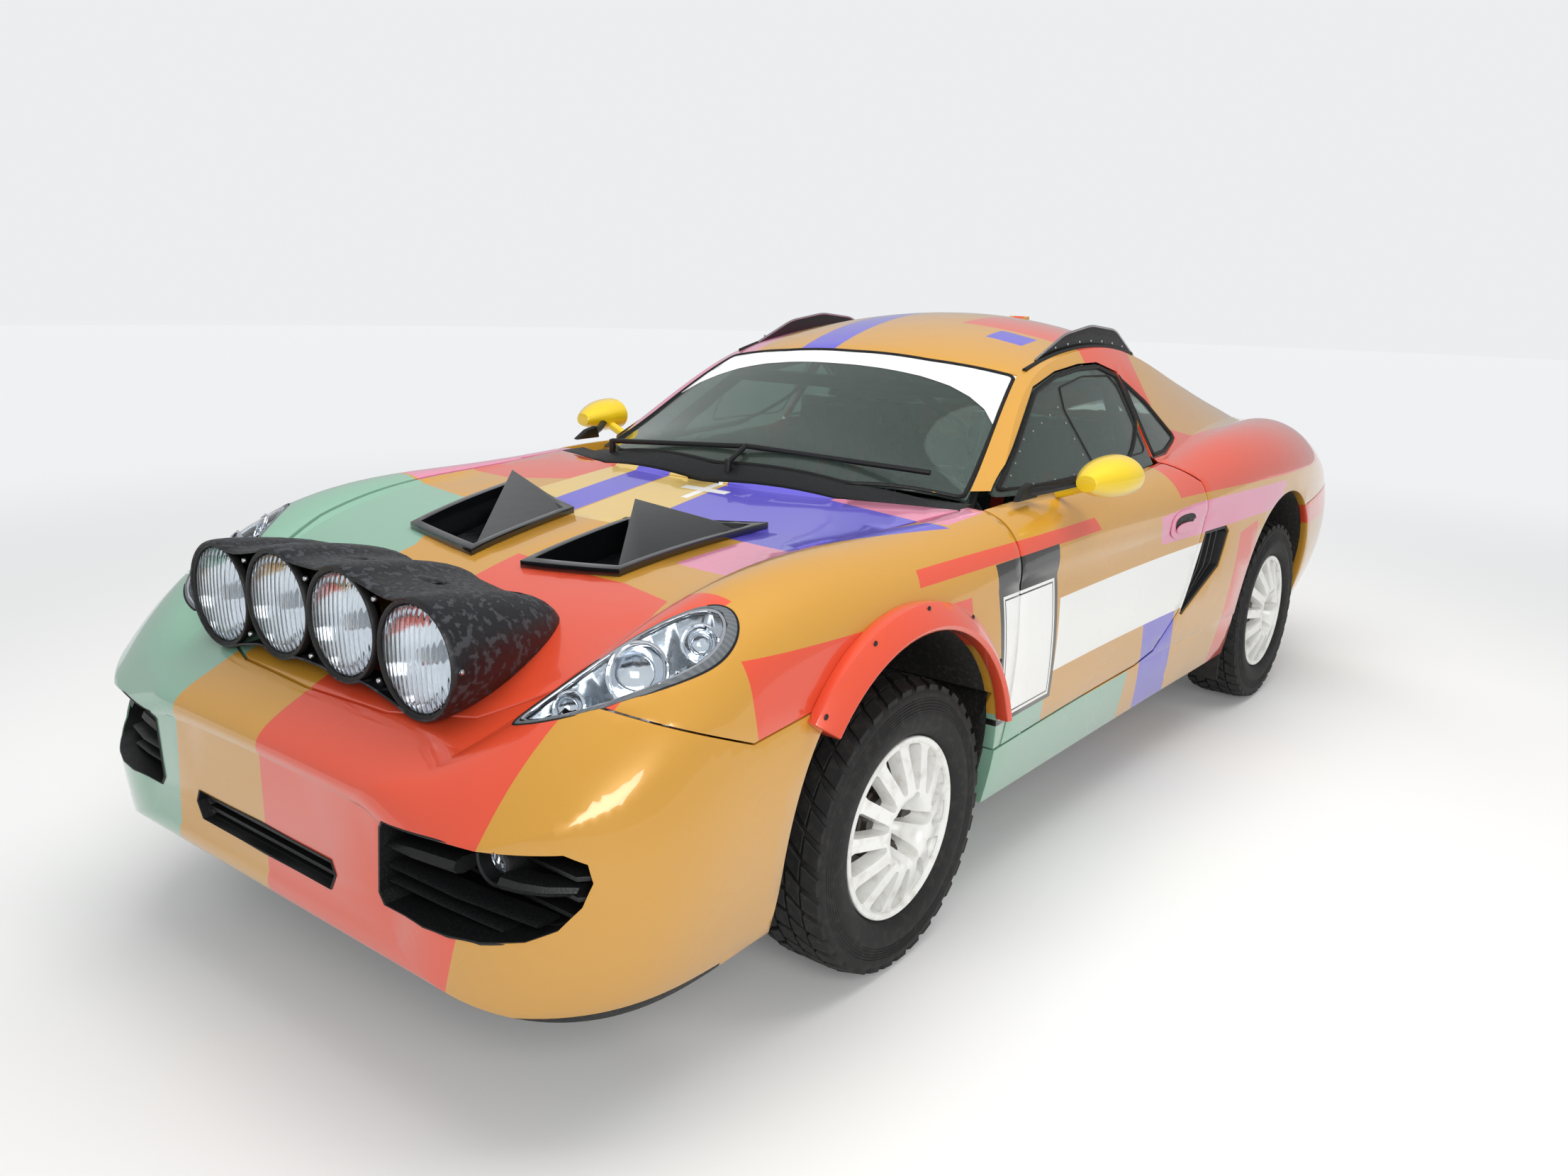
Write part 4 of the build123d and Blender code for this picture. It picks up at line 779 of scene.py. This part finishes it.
finish_piece(pod, "lamp_hood", pod_shell, "bonnet", "pod_plastic", "lamp_pod")
screw_line = [(0.0, 0.0), (0.0028, 0.0012), (0.0028, 0.0042), (0.0, 0.0056), (-0.003, 0.0056)]
screw_places = [(2.0405, y, z) for y in (-0.2225, 0.0, 0.2225) for z in (0.897, 0.742)] + \
    [(2.03, y, 0.806) for y in (0.452, -0.452)]
screws = join([lathe(screw_line, 12, "X", centre) for centre in screw_places])
finish_piece(screws, "hood_screws", plated_steel, "bonnet", "steel")

# Driving lamps: fluted glass, polished bowl, bulb cap and rubber edge
bowl_line = [(-0.006, 0.1015), (-0.012, 0.0995), (-0.03, 0.088), (-0.05, 0.068), (-0.062, 0.045), (-0.068, 0.016),
             (-0.068, 0.0)]
glass_line = [(0.012, 0.0), (0.0115, 0.03), (0.0095, 0.06), (0.0055, 0.085), (0.0, 0.099), (-0.004, 0.102),
              (-0.008, 0.102), (-0.008, 0.0985), (-0.003, 0.097), (0.002, 0.084), (0.0058, 0.06), (0.0078, 0.03),
              (0.0083, 0.0)]
ring_line = [(-0.012, 0.1), (-0.012, 0.1105), (-0.001, 0.112), (0.003, 0.11), (0.0035, 0.106), (0.001, 0.102),
             (-0.006, 0.1), (-0.012, 0.1)]
cap_line = [(-0.06, 0.0), (-0.02, 0.0), (-0.018, 0.01), (-0.022, 0.016), (-0.06, 0.018), (-0.06, 0.0)]
for name, line, steps, wall_thickness, material, slot_name, replaced in (
        ("lamp_bowls", bowl_line, 64, 0.002, chrome_bowl, "lamp", ["driving_lamps"]),
        ("lamp_glasses", glass_line, 64, 0, lamp_glass, "lamp", []),
        ("lamp_rims", ring_line, 64, 0, seal_rubber, "pod_plastic", []),
        ("bulb_caps", cap_line, 32, 0, plated_steel, "lamp", [])):
    made = [lathe(line, steps, "X", centre) for centre in pod_row]
    if wall_thickness:
        for piece in made:
            solidify(piece, wall_thickness, 1.0)
    finish_piece(join(made), name, material, "bonnet", slot_name, *replaced)


def plan_cutter(outline, low, high):
    """Upright prism on an outline seen from above."""
    return plate([(x, y, low) for x, y in outline], (0, 0, high - low))


def shrink(outline, factor_x, factor_y, shift_x=0.0, shift_y=0.0):
    """An outline drawn in about its own middle."""
    mid_x = sum(x for x, _ in outline) / len(outline)
    mid_y = sum(y for _, y in outline) / len(outline)
    return [(mid_x + (x - mid_x) * factor_x + shift_x, mid_y + (y - mid_y) * factor_y + shift_y) for x, y in outline]


def on_body(x, y, lift=0.0):
    """The point of the nose under a point seen from above."""
    spot = hit((x, y, 1.5), (0, 0, -1), "front_fenders bonnet front_bumper headlamps")
    return Vector((x, y, (spot.z if spot else 0.0) + lift))


# Headlamps: grey moulded surround, bright inner edge, three polished bowls and a clear cover
lamp_edge = [(1.996, 0.548), (1.99, 0.592), (1.966, 0.644), (1.926, 0.694), (1.87, 0.738), (1.806, 0.77),
             (1.746, 0.786), (1.696, 0.783), (1.662, 0.765), (1.646, 0.737), (1.652, 0.708), (1.68, 0.68),
             (1.732, 0.648), (1.802, 0.612), (1.88, 0.577), (1.94, 0.548), (1.974, 0.535), (1.99, 0.537)]
window_edge = shrink(lamp_edge, 0.93, 0.91, 0.004, -0.004)
# The lamp's outer face looks up, its tray does not
outer_rise = 0.12
surround = keep_faces(cad_copy("headlamps"), lambda normal, middle: normal.z > outer_rise and middle.y > 0)
tidy(surround, 60)
lens = copy_of(surround)
solidify(surround, 0.012)
hole = plan_cutter(window_edge, 0.5, 1.1)
cut(surround, copy_of(hole))
bevel(surround, 0.0012, 2)
solidify(lens, 0.0025)
shift(lens, lambda v: True, (0, 0, -0.0022))
cut(lens, hole, "INTERSECT")
tray = keep_faces(cad_copy("headlamps"), lambda normal, middle: normal.z <= outer_rise and middle.y > 0)
shift(tray, lambda v: True, (0, 0, -0.004))
shift(tray, lambda v: v.z < on_body(v.x, v.y).z - 0.018, (0, 0, -0.07))
tidy(tray, 60)
solidify(tray, 0.0015)
bright_edge = bar([on_body(x, y, -0.004) for x, y in shrink(window_edge, 0.985, 0.98)], 0.0042, True, 3)
lamp_seal = bar([on_body(x, y, -0.001) for x, y in shrink(lamp_edge, 1.004, 1.006)], 0.0028)
lean = turned(22, "Z") @ turned(-28)
bead_radius = 0.003


def bowl_at(x, y, radius, depth):
    """Round polished bowl that looks forward and out, with a bead around its mouth."""
    bowl = lathe([(0.0, radius), (-depth * 0.25, radius * 0.9), (-depth * 0.62, radius * 0.66),
                  (-depth * 0.9, radius * 0.34), (-depth, 0.0)], 40)
    solidify(bowl, 0.0012, 1.0)
    bead = lathe([(bead_radius * sin(radians(a)), radius + bead_radius * cos(radians(a)))
                  for a in range(0, 361, 45)], 40)
    made = join([bowl, bead])
    made.data.transform(Matrix.Translation(on_body(x, y, -0.022)) @ lean)
    return made


bowls = join([bowl_at(1.835, 0.682, 0.056, 0.045), bowl_at(1.93, 0.612, 0.028, 0.022),
              bowl_at(1.725, 0.728, 0.034, 0.03)])
globe = lathe([(0.004, 0.0), (0.003, 0.01), (-0.002, 0.019), (-0.01, 0.024), (-0.016, 0.025)], 32)
globe.data.transform(Matrix.Translation(on_body(1.725, 0.728, -0.02)) @ lean)
for name, piece, material, slot_name, replaced in [
        ("lamp_surround", surround, grey_mesh, "black_plastic", ["headlamps"]),
        ("lamp_lens", lens, clear_cover, "lamp", []), ("lamp_tray", tray, bright_tray, "lamp", []),
        ("lamp_edge", bright_edge, chrome_bowl, "lamp", []),
        ("lamp_seal", lamp_seal, seal_rubber, "black_plastic", []),
        ("lamp_reflectors", bowls, chrome_bowl, "lamp", []), ("lamp_globe", globe, lamp_glass, "lamp", [])]:
    finish_piece(both_sides(piece), name, material, "root", slot_name, *replaced)


def along(points, per=6, closed=False):
    """More points along a line of points."""
    line = list(points) + ([points[0]] if closed else [])
    out = []
    for a, b in zip(line, line[1:]):
        for step in range(per):
            share = step / per
            out.append(tuple(p + (q - p) * share for p, q in zip(a, b)))
    if not closed:
        out.append(tuple(line[-1]))
    return out


def front_x(y, z):
    """How far forward the nose reaches at a place seen from the front."""
    spot = hit((2.6, y, z), (-1, 0, 0), "front_bumper")
    return spot.x if spot else 2.05


# Nose intakes: black sleeves with a rolled edge, winged bars, and round lamps in deep bezels
centre_hole = [(-0.228, 0.376), (0.228, 0.376), (0.247, 0.41), (0.234, 0.436), (-0.234, 0.436), (-0.247, 0.41)]
side_hole = [(0.384, 0.424), (0.398, 0.405), (0.63, 0.41), (0.7, 0.421), (0.744, 0.444), (0.772, 0.484),
             (0.782, 0.524), (0.774, 0.556), (0.746, 0.573), (0.56, 0.57), (0.412, 0.566), (0.396, 0.55)]


def sleeve(outline, depth):
    """Black lining of an opening in the nose."""
    line = along(outline, 4, True)
    mid_y, mid_z = (sum(values) / len(line) for values in zip(*line))
    rows = [[], [], [], []]
    for y, z in line:
        out_y, out_z = y - mid_y, z - mid_z
        size = sqrt(out_y ** 2 + out_z ** 2)
        out_y, out_z = out_y / size, out_z / size
        x = front_x(y + out_y * 0.006, z + out_z * 0.006)
        for row, (out, ahead) in zip(rows, ((0.004, 0.0006), (0.001, 0.0022), (-0.0016, 0.001), (-0.0016, -depth))):
            row.append(Vector((x + ahead, y + out_y * out, z + out_z * out)))
    return skin(rows)


def wing_bar(line, half):
    """Flattened bar with a blunt front edge; line holds (y, z, share of its height)."""
    rows = []
    for y, z, share in line:
        x = front_x(y, 0.6) - 0.012
        tall = half * share
        rows.append([Vector((x - back, y, z + tall * up)) for back, up in (
            (0.0, 0.0), (0.006, 0.7), (0.02, 1.0), (0.05, 0.8), (0.05, -0.8), (0.02, -1.0), (0.006, -0.7))])
    return skin(rows, True, True)


bars = [wing_bar(line, 0.014) for line in (
    [(0.392, 0.512, 0.25), (0.41, 0.511, 0.7), (0.45, 0.51, 1.0), (0.5, 0.509, 1.05), (0.546, 0.508, 1.1)],
    [(0.634, 0.502, 1.1), (0.67, 0.5, 1.0), (0.71, 0.499, 0.9), (0.75, 0.498, 0.8)])]
for (low_y, low_z), (high_y, high_z) in (((0.396, 0.474), (0.7, 0.436)), ((0.398, 0.446), (0.64, 0.416))):
    bars.append(wing_bar([(low_y, low_z, 1.0), ((low_y + high_y) / 2, (low_z + high_z) / 2, 1.0),
                          (high_y, high_z, 1.0)], 0.004))
fog_place = Vector((2.072, 0.59, 0.516))
fog_outer, fog_inner = 0.046, 0.032
tube = lathe([(-0.06, fog_outer - 0.002), (0.01, fog_outer), (0.016, fog_outer - 0.002), (0.018, fog_outer - 0.006),
              (0.015, fog_outer - 0.01), (-0.04, fog_inner), (-0.06, fog_inner), (-0.06, fog_outer - 0.002)],
             48, "X", fog_place)
fog_lens = lathe([(0.0, 0.0), (-0.001, 0.012), (-0.004, 0.024), (-0.009, 0.0315), (-0.014, 0.0325), (-0.014, 0.0)], 40)
fog_bowl = lathe([(-0.012, 0.032), (-0.03, 0.026), (-0.042, 0.014), (-0.045, 0.0)], 40)
for piece in (fog_lens, fog_bowl):
    piece.data.transform(Matrix.Translation(fog_place + Vector((-0.004, 0, 0))) @ turned(14, "Z"))
solidify(fog_bowl, 0.001, 1.0)
sleeves = join([sleeve(centre_hole, 0.07), both_sides(sleeve(side_hole, 0.1))])
finish_piece(sleeves, "intake_sleeves", moulded_abs, "root", "black_plastic")
finish_piece(both_sides(*bars), "intake_bars", moulded_abs, "root", "black_plastic")
finish_piece(both_sides(tube), "fog_bezels", moulded_abs, "root", "black_plastic", "fog_lamps")
finish_piece(both_sides(fog_lens), "fog_lenses", lamp_glass, "root", "lamp")
finish_piece(both_sides(fog_bowl), "fog_bowls", chrome_bowl, "root", "lamp")


def side_line(points, names, lift, per=5):
    """A closed line drawn in side view, laid on the left of CAD nodes."""
    spots = [hit((x, 1.3, z), (0, -1, 0), names) for x, z in along(points, per, True)]
    return [spot + Vector((0, lift, 0)) for spot in spots if spot]


def top_line(half, names, lift, per):
    """A closed line laid on top of CAD nodes, from its left half in plan."""
    points = half + [(x, -y) for x, y in reversed(half[1:-1])]
    spots = [hit((x, y, 1.6), (0, 0, -1), names) for x, y in along(points, per, True)]
    return [spot + Vector((0, 0, lift)) for spot in spots if spot]


def oval(mid_x, mid_z, half_x, half_z, steps=32, power=2.6):
    """Closed superellipse in side view."""
    out = []
    for step in range(steps):
        angle = 2 * pi * step / steps
        c, s = cos(angle), sin(angle)
        out.append((mid_x + half_x * (abs(c) ** (2 / power)) * (1 if c > 0 else -1),
                    mid_z + half_z * (abs(s) ** (2 / power)) * (1 if s > 0 else -1)))
    return out


def dome(spot, out, radius, height):
    """Rivet or screw head on a surface, its axis along out."""
    head = lathe([(0.0, radius), (height * 0.6, radius * 0.85), (height, radius * 0.4), (height, 0.0)], 12, "Z")
    head.data.transform(Matrix.Translation(spot) @ Vector(out).to_track_quat("Z", "Y").to_matrix().to_4x4())
    return head


# Side windows: thick black seals, the sliding panes' frames and their rivets
window_line = [(0.56, 0.966), (0.4, 1.052), (0.176, 1.184), (0.03, 1.219), (-0.12, 1.233), (-0.25, 1.233),
               (-0.362, 1.2), (-0.348, 0.966)]
pane_line = [(0.06, 0.985), (0.075, 1.13), (0.04, 1.19), (-0.12, 1.212), (-0.3, 1.206), (-0.335, 1.17),
             (-0.325, 0.985)]
glass = "door_glass_left"
rivet_line = [(0.52, 0.972), (0.09, 0.974), (0.1, 1.14), (0.34, 1.074)]
rivets = join([dome(spot, (0, 0.9, 0.43), 0.0032, 0.0014) for spot in side_line(rivet_line, glass, 0.0005, 4)])
both_doors(bar(side_line(window_line, glass, 0.001), 0.007), "window_seal", seal_rubber, "black_plastic")
both_doors(bar(side_line(pane_line, glass, 0.0012), 0.0026), "window_pane_frame", moulded_abs, "black_plastic")
both_doors(rivets, "window_rivets", plated_steel, "steel")
quarter_line = [(-0.372, 0.97), (-0.392, 1.186), (-0.52, 1.108), (-0.622, 1.006), (-0.622, 0.996), (-0.486, 0.972)]
pillar_line = [(-0.35, 0.96), (-0.378, 1.206), (-0.388, 1.198), (-0.366, 0.962)]
quarter_seal = bar(side_line(quarter_line, "quarter_glass", 0.001), 0.006)
pillar = plate(side_line(pillar_line, "body_shell", 0.0006, 4), (0, 0.0012, 0.0005))
for piece, name in ((quarter_seal, "quarter_seals"), (pillar, "pillar_strips")):
    finish_piece(both_sides(piece), name, seal_rubber, "root", "black_plastic")

# Black edges of the windscreen and of the lid's window, and the white strip across the top of the windscreen
screen_half = [(0.852, 0.0), (0.806, 0.397), (0.645, 0.63), (0.4, 0.568), (0.179, 0.507), (0.22, 0.258),
               (0.233, 0.0)]
back_half = [(-0.726, 0.0), (-0.728, 0.37), (-0.802, 0.418), (-1.4, 0.414), (-1.69, 0.384), (-1.712, 0.0)]
for half, node, name, body in ((screen_half, "windshield", "screen_edge", "root"),
                               (back_half, "hatch_glass", "back_edge", "hatch")):
    finish_piece(bar(top_line(half, node, 0.0006, 6), 0.006), name, seal_rubber, body, "black_plastic")
strip_half = [(0.31, 0.0), (0.306, 0.15), (0.303, 0.28), (0.308, 0.38), (0.322, 0.45), (0.344, 0.51),
              (0.378, 0.555), (0.41, 0.64), (0.12, 0.64)]
strip_plan = strip_half + [(x, -y) for x, y in reversed(strip_half)]
strip = keep_faces(cad_copy("windshield"), lambda normal, middle: normal.z > 0.2)
shift(strip, lambda v: True, (0.0004, 0, 0.001))
solidify(strip, 0.0006)
cut(strip, plan_cutter(strip_plan, 0.8, 1.6), "INTERSECT")
finish_piece(strip, "sun_strip", white_vinyl, "root", "white_rim")

# Door handles: an oval plate with a recess and a flap
door = "door_left"
handle = plate(side_line(oval(-0.295, 0.788, 0.1, 0.042), door, 0.0002, 1), (0, 0.0035, 0))
bevel(handle, 0.0014)
recess = plate(side_line(oval(-0.3, 0.79, 0.074, 0.027), door, 0.0038, 1), (0, 0.0004, 0))
flap = plate(side_line(oval(-0.29, 0.778, 0.06, 0.015), door, 0.004, 1), (0, 0.0055, 0))
bevel(flap, 0.002)
both_doors(join([handle, flap]), "handle_plate", side_paint, "gold_paint")
both_doors(recess, "handle_recess", seal_rubber, "black_plastic")

# Roof fences: a bright edge, rivets along the foot, and a moulded foot
fence_top = [(0.06, 1.262), (-0.12, 1.33), (-0.3, 1.352), (-0.48, 1.335), (-0.64, 1.25)]
fence_edge = bar([Vector((x, 0.507, z)) for x, z in along(fence_top, 3)], 0.0034, False)


def on_roof(places):
    """Points of the roof under the left fence."""
    spots = [hit((x, 0.516, 1.6), (0, 0, -1), "body_shell") for x in places]
    return [spot for spot in spots if spot]


heads = [dome(Vector((spot.x, 0.5095, spot.z + 0.016)), (0, 1, 0), 0.0042, 0.002)
         for spot in on_roof((0.02, -0.06, -0.14, -0.22, -0.3, -0.38, -0.46, -0.54))]
finish_piece(both_sides(fence_edge, *heads), "fence_trim", plated_steel, "root", "steel")
foot = [spot + Vector((0, 0, 0.002)) for spot in on_roof((0.14, 0.02, -0.14, -0.3, -0.46, -0.6))]
finish_piece(both_sides(bar(foot, 0.007, False)), "fence_feet", moulded_abs, "root", "black_plastic")

# Screws around the front flares
screw_circle, circle_x, circle_z = 0.432, 1.23, 0.4
heads = []
for angle in (43, 68, 94, 120, 146, 162):
    spot = hit((circle_x + screw_circle * cos(radians(angle)), 1.3, circle_z + screw_circle * sin(radians(angle))),
               (0, -1, 0), "arch_flares")
    if spot:
        heads.append(dome(spot, (0, 1, 0), 0.0065, 0.003))
finish_piece(both_sides(*heads), "flare_screws", moulded_abs, "root", "black_plastic")

# Mirrors: a black four-cornered base and a dark arm on each door
base = plate([Vector((0.64, 0.762, 0.962)), Vector((0.54, 0.764, 0.962)), Vector((0.56, 0.752, 1.0)),
              Vector((0.6, 0.756, 0.99))], (0, 0.018, 0.002))
bevel(base, 0.003)
arm_outline = [(0.02, 0.0), (0.01, 0.009), (-0.01, 0.009), (-0.02, 0.0), (-0.01, -0.009), (0.01, -0.009)]
arm_places = [(0.56, 0.775, 0.978, 1.2), (0.5, 0.806, 0.984, 1.0), (0.45, 0.84, 0.994, 0.9),
              (0.425, 0.868, 1.004, 0.9)]
arm = skin([[Vector((x + dx * size, y, z + dz * size)) for dx, dz in arm_outline] for x, y, z, size in arm_places],
           True, True)
both_doors(join([base, arm]), "mirror_foot", moulded_abs, "black_plastic")


# Seat cushions: foam pads under cloth, swollen by a short cloth simulation
def cushion(side):
    """Crowned pad of one seat, with its sides drawn in."""
    mid_y = 0.35 * side
    pad = block((-0.138, mid_y - 0.17, 0.382), (0.168, mid_y + 0.17, 0.424), 0.016)
    modify(pad, "REMESH", mode="VOXEL", voxel_size=0.006)
    before = [v.co.copy() for v in pad.data.vertices]
    cloth = pad.modifiers.new("Cloth", "CLOTH")
    cloth.settings.quality = 4
    cloth.settings.use_pressure = True
    cloth.settings.uniform_pressure_force = 4.0
    cloth.settings.tension_stiffness = 12.0
    cloth.settings.effector_weights.gravity = 0.0
    scene = bpy.context.scene
    for frame_number in range(1, 21):
        scene.frame_set(frame_number)
    pick(pad)
    bpy.ops.object.modifier_apply(modifier=cloth.name)
    scene.frame_set(1)
    most, top_from, groove_half = 0.01, 0.41, 0.009
    for vertex, start in zip(pad.data.vertices, before):
        move = vertex.co - start
        if move.length > most:
            vertex.co = start + move * (most / move.length)
        across_share = abs(vertex.co.y - mid_y) / 0.18
        vertex.co.z -= 0.006 * across_share ** 4 if vertex.co.z > top_from else 0.0
        low = vertex.co.z < 0.378
        vertex.co.z = 0.376 if low else min(vertex.co.z, 0.439)
        for step in (-0.085, 0.0, 0.085):
            groove = abs(vertex.co.y - mid_y - step)
            if groove < groove_half and vertex.co.z > top_from:
                vertex.co.z -= 0.005 * (1 - groove / groove_half)
    subdivide(pad)
    return pad


for name, side in (("left", 1), ("right", -1)):
    pad = cushion(side)
    finish_piece(pad, f"cushion_{name}", seat_cloth, "root", "seat_fabric", *(["seat_cushions"] if side > 0 else []))

# Padded backs and headrests of the seats, and their harnesses
strap_width = (-0.024, 0.0, 0.024)


def padded_sheet(rows, thickness):
    """A sheet over rows of points, given thickness and smoothed."""
    sheet = skin(rows, False)
    solidify(sheet, thickness)
    subdivide(sheet)
    return sheet


shoulder = [(-0.262, 0.9), (-0.222, 0.85), (-0.18, 0.72), (-0.128, 0.56), (-0.08, 0.462), (-0.02, 0.444)]
lap = [(-0.06, 1.0, 0.442), (-0.05, 0.75, 0.448), (-0.04, 0.4, 0.45), (-0.03, 0.1, 0.448)]
backs, straps, buckles = [], [], []
for mid_y in (0.35, -0.35):
    rows = []
    for t in [k / 8 for k in range(9)]:
        x, z = -0.176 - 0.108 * t, 0.47 + 0.52 * t
        half = 0.15 - 0.02 * sin(pi * t)
        rows.append([Vector((x + 0.004 + 0.022 * (1 - abs(k) / 4) ** 0.5, mid_y + half * k / 4, z))
                     for k in range(-4, 5)])
    backs.append(padded_sheet(rows, 0.012))
    backs.append(block((-0.3, mid_y - 0.115, 0.905), (-0.262, mid_y + 0.115, 1.04), 0.014))
    for offset in (-0.075, 0.075):
        straps.append(padded_sheet(
            [[Vector((x + 0.012, mid_y + offset * (0.55 + 0.45 * (z - 0.44) / 0.46) + w, z + 0.006))
              for w in strap_width] for x, z in shoulder], 0.0024))
    for end in (-0.16, 0.16):
        straps.append(padded_sheet([[Vector((x + w, mid_y + end * share, z)) for w in strap_width]
                                    for x, share, z in lap], 0.0024))
    buckles.append(lathe([(0.0, 0.03), (0.008, 0.03), (0.012, 0.026), (0.014, 0.012), (0.014, 0.0)], 24, "Z"))
    buckles[-1].data.transform(Matrix.Translation((-0.03, mid_y, 0.446)))
finish_piece(join(backs), "seat_backs", seat_cloth, "root", "seat_fabric")
finish_piece(join(straps), "harness", webbing, "root", "seat_fabric")
finish_piece(join(buckles), "buckles", plated_steel, "root", "steel")

# Steering wheel: suede rim and three slotted spokes on a small hub
wheel_place = Matrix.Translation((0.3, 0.35, 0.8)) @ turned(22)
rim = lathe([(0.015 * sin(radians(a)), 0.162 + 0.0135 * cos(radians(a))) for a in range(0, 361, 30)], 64)
rim.data.transform(wheel_place)
finish_piece(rim, "wheel_grip", suede, "steering_wheel", "steering_rim", "steering_wheel")
spokes = []
for angle in (90, 210, 330):
    arm = plate([(0.006, y, z) for y, z in ((-0.018, 0.03), (0.018, 0.03), (0.012, 0.154), (-0.012, 0.154))],
                (0.004, 0, 0))
    slot_cut = plate([(0.0, y, z) for y, z in ((-0.007, 0.06), (0.007, 0.06), (0.005, 0.13), (-0.005, 0.13))],
                     (0.02, 0, 0))
    cut(arm, slot_cut)
    bevel(arm, 0.0008, 1)
    arm.data.transform(turned(angle, "X"))
    spokes.append(arm)
hub = lathe([(-0.012, 0.0), (-0.012, 0.022), (-0.006, 0.034), (0.012, 0.038), (0.03, 0.03), (0.09, 0.018),
             (0.09, 0.0)], 40)
piece = join(spokes + [hub])
piece.data.transform(wheel_place)
finish_piece(piece, "wheel_spokes", dull_steel, "steering_wheel", "steel")


# Camera, floor and lights
camera_data = bpy.data.cameras.new("camera")
camera = bpy.data.objects.new("camera", camera_data)
bpy.context.scene.collection.objects.link(camera)
sensor, photo_width, focal_pixels = 36.0, 2212, 1722.9
camera_data.sensor_width = sensor
camera_data.lens = sensor * focal_pixels / photo_width
yaw, pitch, roll = radians(217.68), radians(-14.36), radians(1.33)
ahead = Vector((cos(yaw) * cos(pitch), sin(yaw) * cos(pitch), sin(pitch)))
level = Vector((sin(yaw), -cos(yaw), 0))
upright = level.cross(ahead)
right = cos(roll) * level + sin(roll) * upright
top = -sin(roll) * level + cos(roll) * upright
camera.matrix_world = Matrix((
    (right.x, top.x, -ahead.x, 3.27), (right.y, top.y, -ahead.y, 2.106),
    (right.z, top.z, -ahead.z, 1.479), (0, 0, 0, 1)))
bpy.context.scene.camera = camera

# The floor glows faintly, more so far away, so that it stays pale up to the horizon
floor_paint, floor_tree, floor_shader = finish("pale_floor", "DCDCDA", Roughness=0.9)
reach = add_node(floor_tree, "VectorMath", {"operation": "LENGTH"}, i0=place(floor_tree)).outputs["Value"]
near, far = 1.6, 7.5
glow, less = (add_node(floor_tree, "MapRange", {"interpolation_type": "SMOOTHSTEP"}, Value=reach, From_Min=near,
                       From_Max=far, To_Min=low, To_Max=high).outputs[0] for low, high in ((0.1, 0.93), (0.0, 1.0)))
floor_tree.links.new(glow, floor_shader.inputs["Emission Strength"])
floor_shader.inputs["Emission Color"].default_value = linear("F2F3F5")
fade = add_node(floor_tree, "Mix", {"data_type": "RGBA"}, Factor=less, i6=linear("DCDCDA"), i7=(0.02, 0.02, 0.02, 1))
floor_tree.links.new(fade.outputs[2], floor_shader.inputs["Base Color"])
nothing_selected()
bpy.ops.mesh.primitive_circle_add(vertices=96, radius=30, fill_type="NGON", location=(0, 0, -0.001))
ground = bpy.context.object
ground.name = "studio_floor"
ground.data.materials.append(floor_paint)

world = bpy.data.worlds.new("studio")
bpy.context.scene.world = world
world.use_nodes = True
backdrop = world.node_tree.nodes["Background"]
rays = add_node(world.node_tree, "LightPath").outputs
direct = add_node(world.node_tree, "Math", {"operation": "MAXIMUM"}, i0=rays["Is Camera Ray"],
                  i1=rays["Is Transmission Ray"]).outputs[0]
strength = add_node(world.node_tree, "MapRange", Value=direct, To_Min=0.55, To_Max=0.95).outputs[0]
backdrop.inputs[0].default_value = linear("F2F3F5")
world.node_tree.links.new(strength, backdrop.inputs[1])


def lamp(name, at, aim, size, watts, glossy=False):
    """Soft rectangular studio lamp that looks at a point."""
    data = bpy.data.lights.new(name, "AREA")
    data.shape = "RECTANGLE"
    data.size, data.size_y = size
    data.energy = watts
    made = bpy.data.objects.new(name, data)
    bpy.context.scene.collection.objects.link(made)
    made.location = at
    made.visible_glossy = glossy
    made.rotation_euler = (Vector(aim) - Vector(at)).to_track_quat("-Z", "Y").to_euler()


lamp("overhead", (0.5, 0.5, 4.6), (0, 0, 0.5), (5.0, 3.5), 210)
lamp("front_left", (4.2, 4.0, 2.8), (0.2, 0, 0.5), (2.6, 2.0), 120, True)
lamp("rear", (-4.5, -3.5, 3.0), (0, 0, 0.6), (3.0, 2.0), 110)
bpy.context.scene.view_settings.view_transform = "Standard"
